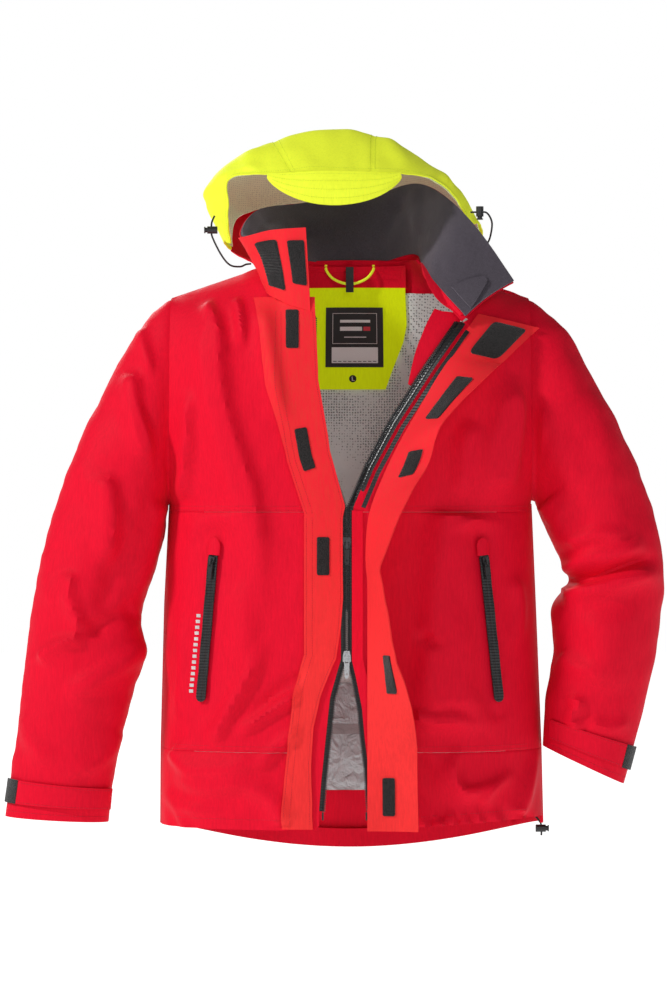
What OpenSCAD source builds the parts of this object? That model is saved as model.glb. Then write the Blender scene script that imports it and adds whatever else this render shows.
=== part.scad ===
// Foul weather jacket, as worn by an open-fronted form, hung from the loop at the back of its neck.
// +X is the wearer's left, +Y is the wearer's back, +Z is up. The origin is at the hanging loop.
// Sheets are laid on shared surfaces at stated offsets: 0 is the outer face of the shell, minus is inward.

/* [Body] */
// Half width of the body at the armholes
chest_half = 250; // [246:1:254]
// Half depth of the body, from the side seams to the front or the back
body_depth = 125; // [121:1:128]
// Thickness of the shell fabric with its bonded membrane
shell_t = 1.8; // [1.4:0.1:2.2]
// Depth of the front hem below the hanging loop
hem_drop = 778; // [774:1:782]
// Depth of the back hem below the hanging loop, at its middle
tail_drop = 811; // [805:1:817]
// Depth of the chest seam below the hanging loop
chest_seam_drop = 343; // [340:1:346]
// Depth of the hem band seam below the hanging loop
band_seam_drop = 672; // [665:1:679]

/* [Closure] */
// Width of a zip tape beyond its teeth
tape_w = 11; // [9:0.5:12]
// Width of the storm flap
flap_w = 70; // [64:1:74]
// Width of a small hook or loop patch
patch_w = 17; // [14:1:19]
// Length of a small hook or loop patch
patch_l = 52; // [46:1:54]
// Angle of the storm flap's upper end, out from the chest
flap_lift = 75; // [68:1:78]

/* [Pockets and cords] */
// Length of a pocket zip
pocket_l = 206; // [196:1:212]
// Diameter of the hood and hem drawcords
cord_d = 2.6; // [2.2:0.1:2.8]
// Travel of a cord lock's button
button_travel = 2.5; // [1.5:0.1:2.6]

/* [Hidden] */

red = [0.83, 0.02, 0.15];
lime = [0.86, 0.92, 0.1];
black = [0.07, 0.07, 0.075];
fleece = [0.29, 0.26, 0.3];
grey_mesh = [0.5, 0.47, 0.46];
silver = [0.68, 0.66, 0.65];

mid_y = -95;            // depth of the side seams
neck_half = 95;         // half width of the neck hole at the shoulder seams
neck_z = 8;             // height of the neck end of the shoulder seams
shoulder_tip_z = -45;   // height of the sleeve end of the shoulder seams
slope_z = -200;         // below this the body has its full depth
neck_rise = 80;         // how far the chest surface would rise in the neck hole
armhole_mid_z = -188;
armhole_half = 143;
armhole_depth = 70;     // half depth of an armhole
seam = 2;               // half of the room left between the front and back sheets at a side seam
chest_seam_z = -chest_seam_drop;
band_seam_z = -band_seam_drop;
gap = 1;                // room between two panels at a seam
closed_x = -5;          // the closed stretch of the main zip
tooth_gap = 0.8;        // room beside the zip's centre line for a slider's wedge
tooth_w = 2.8;
zip_offset = -5;        // the main zip's plane, behind the shell's face
edge_margin = 9;        // from the zip's centre line to the edge of a front panel

// ---- curves and surfaces ----
function mix(a, b, t) = a + (b - a) * t;
function clamp(x, low, high) = min(max(x, low), high);
function unit(v) = v / norm(v);
function bend(p0, p1, p2, p3, f) = 0.5 * (2 * p1 + (p2 - p0) * f
  + (2 * p0 - 5 * p1 + 4 * p2 - p3) * f * f + (3 * p1 - p0 - 3 * p2 + p3) * f * f * f);
// the smooth curve through the points p, at t from 0 to 1
function spline(p, t) = let (spans = len(p) - 1, s = clamp(t, 0, 0.99999) * spans, i = floor(s))
  bend(p[max(i - 1, 0)], p[i], p[i + 1], p[min(i + 2, spans)], s - i);

right_widths = [[-820, 266], [-670, 265], [-470, 259], [-330, 252], [-200, 250], [-45, 250]];
left_widths = [[-820, 275], [-670, 270], [-470, 260], [-330, 254], [-200, 250], [-45, 250]];
function side_x(z, s) = (s < 0 ? -lookup(z, right_widths) : lookup(z, left_widths)) * chest_half / 250;
function shoulder_z(x) = abs(x) < neck_half
  ? neck_z + neck_rise * (1 - pow(x / neck_half, 2))
  : mix(neck_z, shoulder_tip_z, clamp((abs(x) - neck_half) / (chest_half - neck_half), 0, 1));
function rounding(x, z) = let (q = (z - slope_z) / (shoulder_z(x) - slope_z))
  q <= 0 ? 1 : q >= 1 ? 0 : sqrt(1 - pow(q, 3));
function armhole(z) = let (q = (z - armhole_mid_z) / armhole_half)
  abs(q) < 1 ? armhole_depth * sqrt(1 - q * q) : 0;
// how far the body stands out from the plane of its side seams
function depth(x, z) = let (a = armhole(z), d = body_depth * rounding(x, z),
    u = min(abs(x / side_x(z, x < 0 ? -1 : 1)), 1))
  max(seam, sqrt(max(0, d * d - a * a) * (1 - pow(u, 2.6)) + a * a));
function front(p) = [p[0], mid_y - depth(p[0], p[1]), p[1]];
function back(p) = [p[0], mid_y + depth(p[0], p[1]), p[1]];
// the flat patch between four edges, each a function from 0 to 1 that gives [x, z]
function patch(low, high, left, right, u, v) =
  (1 - v) * low(u) + v * high(u) + (1 - u) * left(v) + u * right(v)
  - (1 - u) * (1 - v) * low(0) - u * (1 - v) * low(1) - (1 - u) * v * high(0) - u * v * high(1);

// ---- solids from grids of points, rows upward and columns towards +X ----
function at(g, i, j) = g[clamp(i, 0, len(g) - 1)][clamp(j, 0, len(g[0]) - 1)];
// the grid moved by o along its own normals; side is 1 on the front and -1 on the back
function lifted(g, o, side) = [for (i = [0 : len(g) - 1]) [for (j = [0 : len(g[0]) - 1])
  g[i][j] + side * o * unit(cross(at(g, i, j + 1) - at(g, i, j - 1), at(g, i + 1, j) - at(g, i - 1, j)))]];
module slab(g, low, high, side = 1) {
  m = len(g);
  n = len(g[0]);
  over = lifted(g, side > 0 ? high : low, side);
  under = lifted(g, side > 0 ? low : high, side);
  points = [for (row = over) each row, for (row = under) each row];
  function top(i, j) = i * n + j;
  function bottom(i, j) = (m + i) * n + j;
  skins = [for (i = [0 : m - 2], j = [0 : n - 2]) each [
    [top(i, j), top(i + 1, j + 1), top(i, j + 1)], [top(i, j), top(i + 1, j), top(i + 1, j + 1)],
    [bottom(i, j), bottom(i, j + 1), bottom(i + 1, j + 1)],
    [bottom(i, j), bottom(i + 1, j + 1), bottom(i + 1, j)]]];
  row_rims = [for (j = [0 : n - 2]) each [
    [top(0, j), top(0, j + 1), bottom(0, j + 1)], [top(0, j), bottom(0, j + 1), bottom(0, j)],
    [top(m - 1, j), bottom(m - 1, j + 1), top(m - 1, j + 1)],
    [top(m - 1, j), bottom(m - 1, j), bottom(m - 1, j + 1)]]];
  column_rims = [for (i = [0 : m - 2]) each [
    [top(i, 0), bottom(i + 1, 0), top(i + 1, 0)], [top(i, 0), bottom(i, 0), bottom(i + 1, 0)],
    [top(i, n - 1), top(i + 1, n - 1), bottom(i + 1, n - 1)],
    [top(i, n - 1), bottom(i + 1, n - 1), bottom(i, n - 1)]]];
  polyhedron(points, concat(skins, row_rims, column_rims));
}
// a round tube along a route of points
module tube(route, d, sides = 8) {
  n = len(route);
  rings = [for (i = [0 : n - 1])
    let (t = unit(route[min(i + 1, n - 1)] - route[max(i - 1, 0)]),
         a = unit(cross(t, abs(t[1]) < 0.8 ? [0, 1, 0] : [1, 0, 0])), b = cross(t, a))
    [for (k = [0 : sides - 1]) route[i] + d / 2 * (cos(360 * k / sides) * a + sin(360 * k / sides) * b)]];
  walls = [for (i = [0 : n - 2], k = [0 : sides - 1]) let (l = (k + 1) % sides) each [
    [i * sides + k, i * sides + l, (i + 1) * sides + l],
    [i * sides + k, (i + 1) * sides + l, (i + 1) * sides + k]]];
  ends = [[for (k = [sides - 1 : -1 : 0]) k], [for (k = [0 : sides - 1]) (n - 1) * sides + k]];
  polyhedron([for (r = rings) each r], concat(walls, ends));
}
function route(p, rings) = [for (i = [0 : rings - 1]) spline(p, i / (rings - 1))];
// draws its children with their x, y and z along a, b and c, at o
module placed(o, a, b, c) multmatrix([[a[0], b[0], c[0], o[0]], [a[1], b[1], c[1], o[1]],
  [a[2], b[2], c[2], o[2]], [0, 0, 0, 1]]) children();

// ---- body panels ----
// the zip's two centre lines, as [height, x]
right_line = [[-755, -35], [-713, -32], [-655, -26], [-598, -20], [-562, -10], [-546, closed_x],
  [-335, closed_x], [-259, -30], [-161, -47], [-58, -46]];
left_line = [[-755, 22], [-697, 18], [-648, 12], [-613, 9], [-572, 1], [-546, closed_x],
  [-335, closed_x], [-280, 18], [-217, 52], [-140, 102], [-72, 150]];
function zip_x(z, s) = lookup(z, s < 0 ? right_line : left_line);
function zip_slope(z, s) = (zip_x(z + 6, s) - zip_x(z - 6, s)) / 12;
// a point at distance d to the left of the zip's centre line on one side
function beside(z, s, d) = let (k = zip_slope(z, s), r = sqrt(1 + k * k)) [zip_x(z, s) + d / r, z - d * k / r];
function panel_edge(z, s) = [zip_x(z, s) + s * edge_margin * sqrt(1 + pow(zip_slope(z, s), 2)), z];

chest_rows = 12;
band_rows = 4;
columns = 11;
chest_right_neck = [[-56, -64], [-88, -50], [-112, -28], [-104, 5]];
chest_left_neck = [[163, -78], [126, -56], [108, -30], [98, 5]];
function chest_edge(v, s, neck) = let (below = 0.72, low = chest_seam_z + gap)
  v < below ? panel_edge(mix(low, neck[0][1], v / below), s) : spline(neck, (v - below) / (1 - below));
function shoulder_line(u, s, from) = let (x = mix(from, s * chest_half, u)) [x, shoulder_z(x)];
function chest_point(u, v, s, neck) = patch(
  function (a) [mix(panel_edge(chest_seam_z + gap, s)[0], side_x(chest_seam_z, s), a), chest_seam_z + gap],
  function (a) shoulder_line(a, s, neck[3][0]),
  function (a) chest_edge(a, s, neck),
  function (a) let (z = mix(chest_seam_z + gap, shoulder_tip_z, a)) [side_x(z, s), z], u, v);
module chest_panel(s, neck) slab([for (i = [0 : chest_rows]) [for (j = [0 : columns])
  let (u = j / columns) front(chest_point(s < 0 ? 1 - u : u, i / chest_rows, s, neck))]], -shell_t, 0);

function hem_z(x, s) = -hem_drop + (s < 0 ? 0 : 12 * clamp(x / 250, 0, 1));
// a front panel between two heights, closer columns at the side seam where it turns
module front_strip(s, low, high, rows) slab([for (i = [0 : rows]) [for (j = [0 : columns])
  let (u = j / columns, a = s < 0 ? u : 1 - u, v = i / rows, near = sin(90 * a),
       z0 = mix(low(side_x(low(0), s)), high, v), x = mix(side_x(z0, s), panel_edge(z0, s)[0], 1 - cos(90 * a)),
       z = mix(low(x), high, v))
  front([x, z])]], -shell_t, 0);
function seam_level(z) = function (x) z;

tail_curve = 35;        // how much the back hem rises from its middle to the side seams
function tail_z(x) = -tail_drop + tail_curve * pow(x / 268, 2);
back_columns = 16;
function back_x(a, z) = let (t = sin(90 * (2 * a - 1))) t * abs(side_x(z, t < 0 ? -1 : 1));
module back_strip(low, high, rows) slab([for (i = [0 : rows]) [for (j = [0 : back_columns])
  let (a = j / back_columns, v = i / rows, x0 = back_x(a, low(0)), z = mix(low(x0), high, v))
  back([back_x(a, z), z])]], -shell_t, 0, -1);

yoke_z = -200;
yoke_columns = 20;
module back_yoke() color(red) slab([for (i = [0 : 8]) [for (j = [0 : yoke_columns])
  let (t = 2 * j / yoke_columns - 1, x = t * chest_half, neck_dip = abs(x) < neck_half ? shoulder_z(x) - neck_z + 4 : 0,
       z = mix(yoke_z, shoulder_z(x) - neck_dip, i / 8))
  back([x, z])]], -shell_t, 0, -1);
module back_panel() color(red) back_strip(seam_level(band_seam_z + gap), yoke_z - gap, 10);
module back_hem_band() color(red) back_strip(function (x) tail_z(x), band_seam_z - gap, band_rows);
module right_chest_panel() color(red) chest_panel(-1, chest_right_neck);
module left_chest_panel() color(red) chest_panel(1, chest_left_neck);
module right_front_panel() color(red) front_strip(-1, seam_level(band_seam_z + gap), chest_seam_z - gap, 8);
module left_front_panel() color(red) front_strip(1, seam_level(band_seam_z + gap), chest_seam_z - gap, 8);
module right_hem_band() color(red) front_strip(-1, function (x) hem_z(x, -1), band_seam_z - gap, band_rows);
module left_hem_band() color(red) front_strip(1, function (x) hem_z(x, 1), band_seam_z - gap, band_rows);

// ---- sleeves: rings between an outer line and an inner line, both as [x, z] from armhole to cuff ----
right_outer = [[-252, -45], [-294, -82], [-336, -150], [-378, -245], [-413, -343], [-441, -460],
  [-455, -570], [-467, -670], [-480, -766]];
right_inner = [[-254, -332], [-258, -352], [-264, -385], [-274, -425], [-292, -488], [-287, -540],
  [-306, -610], [-326, -690], [-336, -774]];
left_outer = [[252, -45], [301, -94], [344, -165], [384, -239], [413, -312], [436, -395],
  [435, -480], [421, -565], [403, -640], [381, -721]];
left_inner = [[259, -332], [262, -346], [267, -362], [274, -382], [285, -406], [303, -440],
  [287, -476], [291, -535], [276, -604], [268, -668]];
sleeve_depths = [70, 76, 78, 76, 72, 66, 60, 52, 42];
sleeve_forward = 25;    // how far the cuffs hang in front of the side seams
sleeve_rows = 14;
sleeve_columns = 9;
function sleeve_axis(s, t) = (spline(s < 0 ? right_outer : left_outer, t) + spline(s < 0 ? right_inner : left_inner, t)) / 2;
function sleeve_half(s, t) = (spline(s < 0 ? right_outer : left_outer, t) - spline(s < 0 ? right_inner : left_inner, t)) / 2;
// a point on a sleeve: angle 0 is its outer line, 90 its front, 180 its inner line
function sleeve(s, t, angle) = let (c = sleeve_axis(s, t), a = sleeve_half(s, t) * cos(angle))
  [c[0] + a[0], mid_y - sleeve_forward * t - spline(sleeve_depths, t) * sin(angle), c[1] + a[1]];
function sleeve_grid(s, t0, t1, rows, a0, a1, cols) = [for (i = [0 : rows]) [for (j = [0 : cols])
  sleeve(s, mix(t1, t0, i / rows), mix(s < 0 ? a0 : a1, s < 0 ? a1 : a0, j / cols))]];
module sleeve_sheet(s, a0, a1) slab(sleeve_grid(s, 0, 1, sleeve_rows, a0, a1, sleeve_columns), -shell_t, 0);
module right_sleeve_front() color(red) sleeve_sheet(-1, 1, 179);
module right_sleeve_back() color(red) sleeve_sheet(-1, 359, 181);
module left_sleeve_front() color(red) sleeve_sheet(1, 1, 179);
module left_sleeve_back() color(red) sleeve_sheet(1, 359, 181);

// a cuff tab lies on the sleeve's front from its sewn end on the inner side to its free end on the outer side
tab_top = 0.925;
tab_low = 0.965;
function tab_sewn(s) = s < 0 ? 166 : 148;
tab_free = 38;
pad_end = 8;
tab_rise = 2.2;
module cuff_strip(s, a0, a1, low, high) slab(sleeve_grid(s, tab_top, tab_low, 2, a0, a1, 8), low, high);
module right_cuff_tab() color(red) cuff_strip(-1, tab_free, tab_sewn(-1), tab_rise, tab_rise + 1.6);
module right_cuff_pad() color(black) cuff_strip(-1, pad_end, tab_free - 1, tab_rise, tab_rise + 2);
module left_cuff_tab() color(red) cuff_strip(1, tab_free, tab_sewn(1), tab_rise, tab_rise + 1.6);
module left_cuff_pad() color(black) cuff_strip(1, pad_end, tab_free - 1, tab_rise, tab_rise + 2);

// ---- flaps and facings of the front ----
// a strip of the front surface beside the zip's centre line, from d0 to d1 across
module zip_strip(s, z0, z1, rows, d0, d1, cols, low, high) slab([for (i = [0 : rows]) [for (j = [0 : cols])
  let (z = mix(z0, z1, i / rows)) front(beside(z, s, mix(d0, d1, j / cols)))]], low, high);
placket_w = 52;
placket_low = 3.2;
placket_high = 5;
module right_placket_flap() color(red)
  zip_strip(-1, -hem_drop + 4, -64, 16, -placket_w - 6, -6, 3, placket_low, placket_high);
module inner_zip_guard() color(red)
  zip_strip(-1, -750, -150, 14, -34, -12, 2, -9.6, -8.2);

// the storm flap's sewn edge and free edge on the chest, as [x, z], from the collar down
lapel_sewn = [[176, -70], [130, -136], [78, -226], [46, -290], [24, -352], [20, -425]];
lapel_free = [[262, -88], [196, -150], [124, -222], [106, -276], [66, -345], [38, -425]];
lapel_rise = 3;
lapel_rows = 14;
function lapel_point(t, r) = let (a = spline(lapel_sewn, t), b = spline(lapel_free, t), p = mix(a, b, r),
    across = norm(b - a), stand = sqrt(max(0, flap_w * flap_w - across * across)), f = front(p))
  [f[0], f[1] - lapel_rise - 5 * sin(180 * r) - stand * pow(r, 1.3), f[2]];
hinge_x = 23;
hinge_y = -227;
flap_top = -434;
flap_angles = [[-778, 8], [-664, 15], [-609, 32], [-546, 57], [-434, flap_lift]];
function flap_point(z, r) = let (a = lookup(z, flap_angles), w = r * flap_w)
  [hinge_x + w * cos(a), hinge_y - w * sin(a), z];
module storm_flap_upper() color(red) {
  slab([for (i = [0 : lapel_rows]) [for (j = [0 : 5])
    lapel_point(1 - i / lapel_rows, j / 5)]], 0.5, 2.1);
  zip_strip(1, -hem_drop + 14, -350, 9, 7, 22, 1, 1.2, 2.8);
}
module storm_flap_lower() color(red)
  slab([for (i = [0 : 8]) [for (j = [0 : 3])
    flap_point(mix(-hem_drop + 2, flap_top, i / 8), mix(0.02, 1, j / 3))]], -0.8, 0.8);

// ---- hook and loop ----
patch_t = 1.2;
// a patch on the right placket at height z
module placket_patch(z) zip_strip(-1, z - patch_l / 2, z + patch_l / 2, 2, -placket_w / 2 - 6 - patch_w / 2,
  -placket_w / 2 - 6 + patch_w / 2, 1, placket_high + 0.6, placket_high + 0.6 + patch_t);
// a patch on the lapel, between two shares of its length and of its width
module lapel_patch(t0, t1, r0, r1) slab([for (i = [0 : 4]) [for (j = [0 : 3])
  lapel_point(mix(t1, t0, i / 4), mix(r0, r1, j / 3))]], 5.6, 5.6 + patch_t);
module flap_patch(z, r) slab([for (i = [0 : 2]) [for (j = [0 : 1])
  flap_point(mix(z - patch_l / 2, z + patch_l / 2, i / 2), r + (j - 0.5) * patch_w / flap_w)]], 2.4, 2.4 + patch_t);
module cuff_patch(s) cuff_strip(s, 20, 70, 0.3, 1.3);
module closure_patches() color(black) {
  for (z = [-94, -249, -403]) placket_patch(z);
  collar_patch(0.05, 0.32, 0.18, 0.82);
  collar_patch(0.46, 0.78, 0.06, 0.84);
  lapel_patch(0.03, 0.15, 0.3, 0.86);
  lapel_patch(0.24, 0.38, 0.42, 0.78);
  lapel_patch(0.52, 0.64, 0.42, 0.76);
  for (s = [-1, 1]) cuff_patch(s);
}
module flap_patches() color(black) for (p = [[-563, 0.62], [-731, 0.42]]) flap_patch(p[0], p[1]);

// ---- main zip ----
zip_bottom = -752;
zip_top = -74;
module main_zip_tapes() color(black) {
  zip_strip(-1, zip_bottom, zip_top, 22, -tooth_gap - tooth_w - 0.4 - tape_w, -tooth_gap - tooth_w - 0.4, 1,
    zip_offset - 0.4, zip_offset + 0.4);
  zip_strip(1, zip_bottom, zip_top - 4, 22, tooth_gap + tooth_w + 0.4, tooth_gap + tooth_w + 0.4 + tape_w, 1,
    zip_offset - 0.4, zip_offset + 0.4);
}
module main_zip_teeth() color(black) {
  zip_strip(-1, zip_bottom, zip_top, 22, -tooth_gap - tooth_w, -tooth_gap, 1, zip_offset - 1.5, zip_offset + 1.5);
  zip_strip(1, zip_bottom, zip_top - 4, 22, tooth_gap, tooth_gap + tooth_w, 1, zip_offset - 1.5, zip_offset + 1.5);
}
// the pin on the right tape and the box on the left tape, below the last teeth
fitting_z = -764;
module zip_end_fittings() color(black) {
  translate([zip_x(zip_bottom, -1) - 3, mid_y - body_depth - zip_offset, fitting_z]) cylinder(r = 1.2, h = 11, $fn = 24);
  translate([zip_x(zip_bottom, 1) - 1, mid_y - body_depth - zip_offset - 2.5, fitting_z]) difference() {
    cube([7, 5, 11]);
    translate([3.2, 2.5, 2]) cylinder(r = 1.35, h = 12, $fn = 24);
  }
}
// A slider on a chain that runs along z at y = 0, seen from -y; up is 1 if its wedge is at its upper end
plate_w = 11;
plate_l = 15;
bridge_y = -5.9;        // the hinge line of the pull, under the bridge
module slider(up) {
  for (y = [[-4.6, -3.2], [3.2, 4.4]])
    translate([0, y[1], 0]) rotate([90, 0, 0]) linear_extrude(y[1] - y[0])
      polygon([[-plate_w / 2, up * plate_l / 2], [plate_w / 2, up * plate_l / 2], [plate_w / 2, 0],
        [plate_w / 3, -up * plate_l / 2], [-plate_w / 3, -up * plate_l / 2], [-plate_w / 2, 0]]);
  translate([-0.5, -3.3, up > 0 ? 4 : -7]) cube([1, 6.6, 3]);
  for (x = [-plate_w / 2, plate_w / 2 - 0.8]) translate([x, -3.3, up > 0 ? 0 : -7]) cube([0.8, 1.4, 7]);
  difference() {
    translate([-1.2, -9, -5]) cube([2.4, 4.5, 10]);
    translate([-2, -7.4, -3.6]) cube([4, 2.8, 7.2]);
  }
}
pull_l = 30;
module pull() {
  translate([-3.7, bridge_y, 0]) rotate([0, 90, 0]) cylinder(r = 0.75, h = 7.4, $fn = 24);
  for (x = [-3.7, 2.3]) translate([x, bridge_y - 0.7, -9.5]) cube([1.4, 1.4, 9.5]);
  difference() {
    translate([0, bridge_y + 0.7, -9]) rotate([90, 0, 0]) linear_extrude(1.4)
      polygon([[-3.7, 0], [3.7, 0], [3.2, -pull_l + 12], [2, -pull_l + 9], [-2, -pull_l + 9], [-3.2, -pull_l + 12]]);
    translate([0, bridge_y + 2, -4 - pull_l + 10]) rotate([90, 0, 0]) cylinder(r = 1, h = 4, $fn = 24);
  }
}
upper_slider_z = -385;
lower_slider_z = -540;
chain_y = mid_y - body_depth - zip_offset;
module on_chain(z) translate([closed_x, chain_y, z]) children();
module upper_zip_slider() color("dimgray") on_chain(upper_slider_z) slider(1);
module upper_zip_pull() color(black) on_chain(upper_slider_z) pull();
module lower_zip_slider() color("silver") on_chain(lower_slider_z) slider(-1);
module lower_zip_pull() color("silver") on_chain(lower_slider_z) pull();

// ---- pockets: each zip is straight, on the line between two points of the front surface ----
pocket_tops = [[-186, -398], [181, -398]];
pocket_leans = [[-18, -1], [22, -1]];   // the way down each pocket, as x for every 206 of length
pocket_stand = 4;       // the zip's plane in front of the shell's face
pocket_scale = 0.8;
function pocket_low(k) = [pocket_tops[k][0] + pocket_leans[k][0], pocket_tops[k][1] - pocket_l];
function pocket_up(k) = unit(front(pocket_tops[k]) - front(pocket_low(k)));
function surface_out(p) = unit(cross(front(p + [5, 0]) - front(p - [5, 0]), front(p + [0, 5]) - front(p - [0, 5])));
function pocket_across(k) = let (m = (pocket_tops[k] + pocket_low(k)) / 2) unit(cross(pocket_up(k), surface_out(m)));
function pocket_out(k) = cross(pocket_across(k), pocket_up(k));
module in_pocket(k) placed(front(pocket_low(k)) + pocket_stand * pocket_out(k),
  pocket_across(k), -pocket_out(k), pocket_up(k)) children();
pocket_tape_w = 15;
module pocket_zip() {
  difference() {
    translate([0, 0.3, 0]) rotate([90, 0, 0]) linear_extrude(0.8) hull()
      for (z = [4, pocket_l - 4]) translate([0, z]) circle(d = pocket_tape_w, $fn = 48);
    translate([-0.6, -2, 2]) cube([1.2, 4, pocket_l - 8]);
  }
  for (x = [-0.6 - 1.6, 0.6]) translate([x, -1.6, 4]) cube([1.6, 1, pocket_l - 12]);
}
slider_rest = 194;      // a closed pocket's slider above the low end of its zip
module on_pocket(k) in_pocket(k) translate([0, 0, slider_rest]) scale(pocket_scale) children();
module pocket_zips() color(black) for (k = [0, 1]) in_pocket(k) pocket_zip();
module right_pocket_slider() color("dimgray") on_pocket(0) slider(1);
module right_pocket_pull() color(black) on_pocket(0) pull();
module left_pocket_slider() color("dimgray") on_pocket(1) slider(1);
module left_pocket_pull() color(black) on_pocket(1) pull();
// a fabric hood over the closed slider's upper end
module pocket_garages() color(red) for (k = [0, 1]) in_pocket(k) translate([0, -2.4, pocket_l + 4])
  rotate([90, 0, 0]) linear_extrude(1.4) hull() {
    circle(d = 18, $fn = 48);
    translate([0, 12]) circle(d = 14, $fn = 48);
  }
bag_w = 70;
module pocket_bags() color(silver) for (k = [0, 1]) slab([for (i = [0 : 5]) [for (j = [0 : 3])
  let (z = mix(pocket_low(k)[1] - 30, pocket_tops[k][1], i / 5), x = sign(pocket_tops[k][0]) * mix(105, 105 + bag_w, (k == 0 ? 3 - j : j) / 3))
  front([x, z])]], -12, -10.8);

// ---- collar: a sheet between its sewn edge and its top edge, from the right front round to the left front ----
collar_sewn = [[-54, -212, -54], [-88, -202, -44], [-116, -172, -24], [-108, -92, 14], [-50, -6, 12],
  [40, 2, 12], [96, -50, 20], [112, -150, -18], [158, -200, -76]];
collar_top = [[-60, -216, 44], [-106, -206, 42], [-150, -168, 38], [-134, -74, 78], [-66, 10, 98],
  [40, 18, 110], [104, -40, 120], [164, -126, 66], [226, -158, -26]];
collar_rows = 4;
collar_columns = 20;
function collar_point(t, r) = let (a = spline(collar_sewn, t), b = spline(collar_top, t))
  mix(a, b, r) + [0, 0, 4 * sin(180 * r)];
// columns run round the neck here, so the sheet's outer side is its back
module collar_sheet(t0, t1, cols, r0, r1, low, high) slab([for (i = [0 : collar_rows]) [for (j = [0 : cols])
  collar_point(mix(t0, t1, j / cols), mix(r0, r1, i / collar_rows))]], low, high, -1);
module collar_shell() color(red) collar_sheet(0.01, 1, collar_columns, 0.05, 1, 0, 1.6);
module collar_lining() color(fleece) collar_sheet(0.01, 1, collar_columns, 0.1, 1, -4.4, -1.4);
module right_collar_flap() color(red) collar_sheet(0.005, 0.24, 5, 0, 1.02, 4, 5.6);
module collar_patch(c0, c1, r0, r1) collar_sheet(mix(0.005, 0.24, c0), mix(0.005, 0.24, c1), 1, r0, r1, 6.6, 6.6 + patch_t);
// a triangle of fleece over the top of the zip
module chin_guard() color(fleece) slab([for (i = [0 : 3]) [for (j = [0 : 2])
  collar_point(mix(0.93, 0.995, mix(j / 2, 0.5, i / 3 * 0.85)), mix(0.12, 0.6, i / 3))]], -7.4, -5.6, -1);

// ---- facings, linings and the hanging loop, inside the back ----
module inner_back(x0, x1, z0, z1, rows, cols, low, high) slab([for (i = [0 : rows]) [for (j = [0 : cols])
  let (x = mix(x0, x1, j / cols), z = mix(z0, z1, i / rows))
  back([x, z])]], low, high, -1);
module neck_facing() color(red) inner_back(-72, 76, -9, 1, 1, 8, -8.4, -7);
module yoke_facing() color(lime) inner_back(-70, 84, -168, -12, 6, 8, -10, -8.6);
module care_label() color(black) {
  inner_back(-35, 49, -136, -49, 3, 4, -12.2, -11.4);
  inner_back(0, 9, -157, -148, 1, 1, -12.2, -11.4);
}
module mesh_lining() color(grey_mesh) {
  inner_back(-205, 205, -560, -172, 7, 12, -6.2, -5.2);
  for (s = [-1, 1]) slab([for (i = [0 : 7]) [for (j = [0 : 6])
    let (z = mix(-640, -150, i / 7), u = j / 6, a = s < 0 ? 1 - u : u,
         x = mix(zip_x(z, s) + s * 40, s * 205, a)) front([x, z])]], -7.6, -6.4);
}
module lower_lining() color(silver) inner_back(-225, 225, -742, -563, 3, 14, -6.2, -5.2);
loop_route = [[-34, -2, 8], [-33, -9, 0], [-24, -10, -11], [-8, -10.5, -18], [8, -10.5, -18],
  [24, -10, -11], [33, -9, 0], [34, -2, 8]];
module hanging_loop() color(lime) tube(route(loop_route, 21), 3.4);
module hang_tab() color(black) translate([-5.5, -15, -31]) cube([11, 2.2, 36]);

// ---- hood: a sheet along lines from its front edge, over the crown and down to the neck ----
hood_edge = [[-166, -92, 30], [-170, -108, 84], [-164, -120, 122], [-92, -152, 124], [-26, -162, 126],
  [44, -158, 124], [110, -138, 121], [146, -118, 92], [166, -100, 56]];
hood_ridge = [[-176, -60, 38], [-198, -60, 88], [-186, -58, 126], [-120, -52, 168], [-30, -45, 187],
  [48, -45, 178], [112, -50, 140], [158, -60, 98], [184, -72, 58]];
hood_seam = [[-168, -20, 26], [-165, 50, 70], [-140, 84, 88], [-80, 100, 100], [-5, 106, 104],
  [66, 100, 98], [120, 80, 84], [150, 46, 60], [184, -36, 30]];
hood_base = [[-136, -44, 8], [-118, -14, 12], [-90, 14, 14], [-46, 24, 16], [-5, 28, 16],
  [40, 26, 16], [82, 14, 14], [112, -12, 12], [136, -44, 6]];
function hood_point(t, s) = let (p = [for (line = [hood_edge, hood_ridge, hood_seam, hood_base]) spline(line, t)])
  spline(p, s);
module hood_sheet(t0, t1, cols, s0, s1, rows, low, high) slab([for (i = [0 : rows]) [for (j = [0 : cols])
  hood_point(mix(t0, t1, j / cols), mix(s0, s1, i / rows))]], low, high);
crown_end = 0.645;
module hood_crown() color(lime) hood_sheet(0.01, 0.99, 18, 0, crown_end, 10, 0, 1.6);
module hood_neck() color(red) hood_sheet(0.01, 0.99, 18, crown_end + 0.02, 0.985, 5, 0, 1.6);
module hood_lining() color(grey_mesh) hood_sheet(0.03, 0.97, 16, 0.05, crown_end - 0.14, 8, -3.4, -2);
// the stiffened peak hangs from the middle of the front edge
peak_from = 0.335;
peak_to = 0.675;
peak_drop = 48;
function peak_point(u, r) = let (e = spline(hood_edge, mix(peak_from, peak_to, u)), d = peak_drop * max(0.05, pow(sin(180 * u), 0.55)))
  e + [0, -3 - 12 * r * d / peak_drop, -2 - r * d];
module hood_peak() color(lime) slab([for (i = [0 : 4]) [for (j = [0 : 14])
  peak_point(mix(0.01, 0.99, j / 14), 1 - i / 4)]], -0.8, 0.8);

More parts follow.
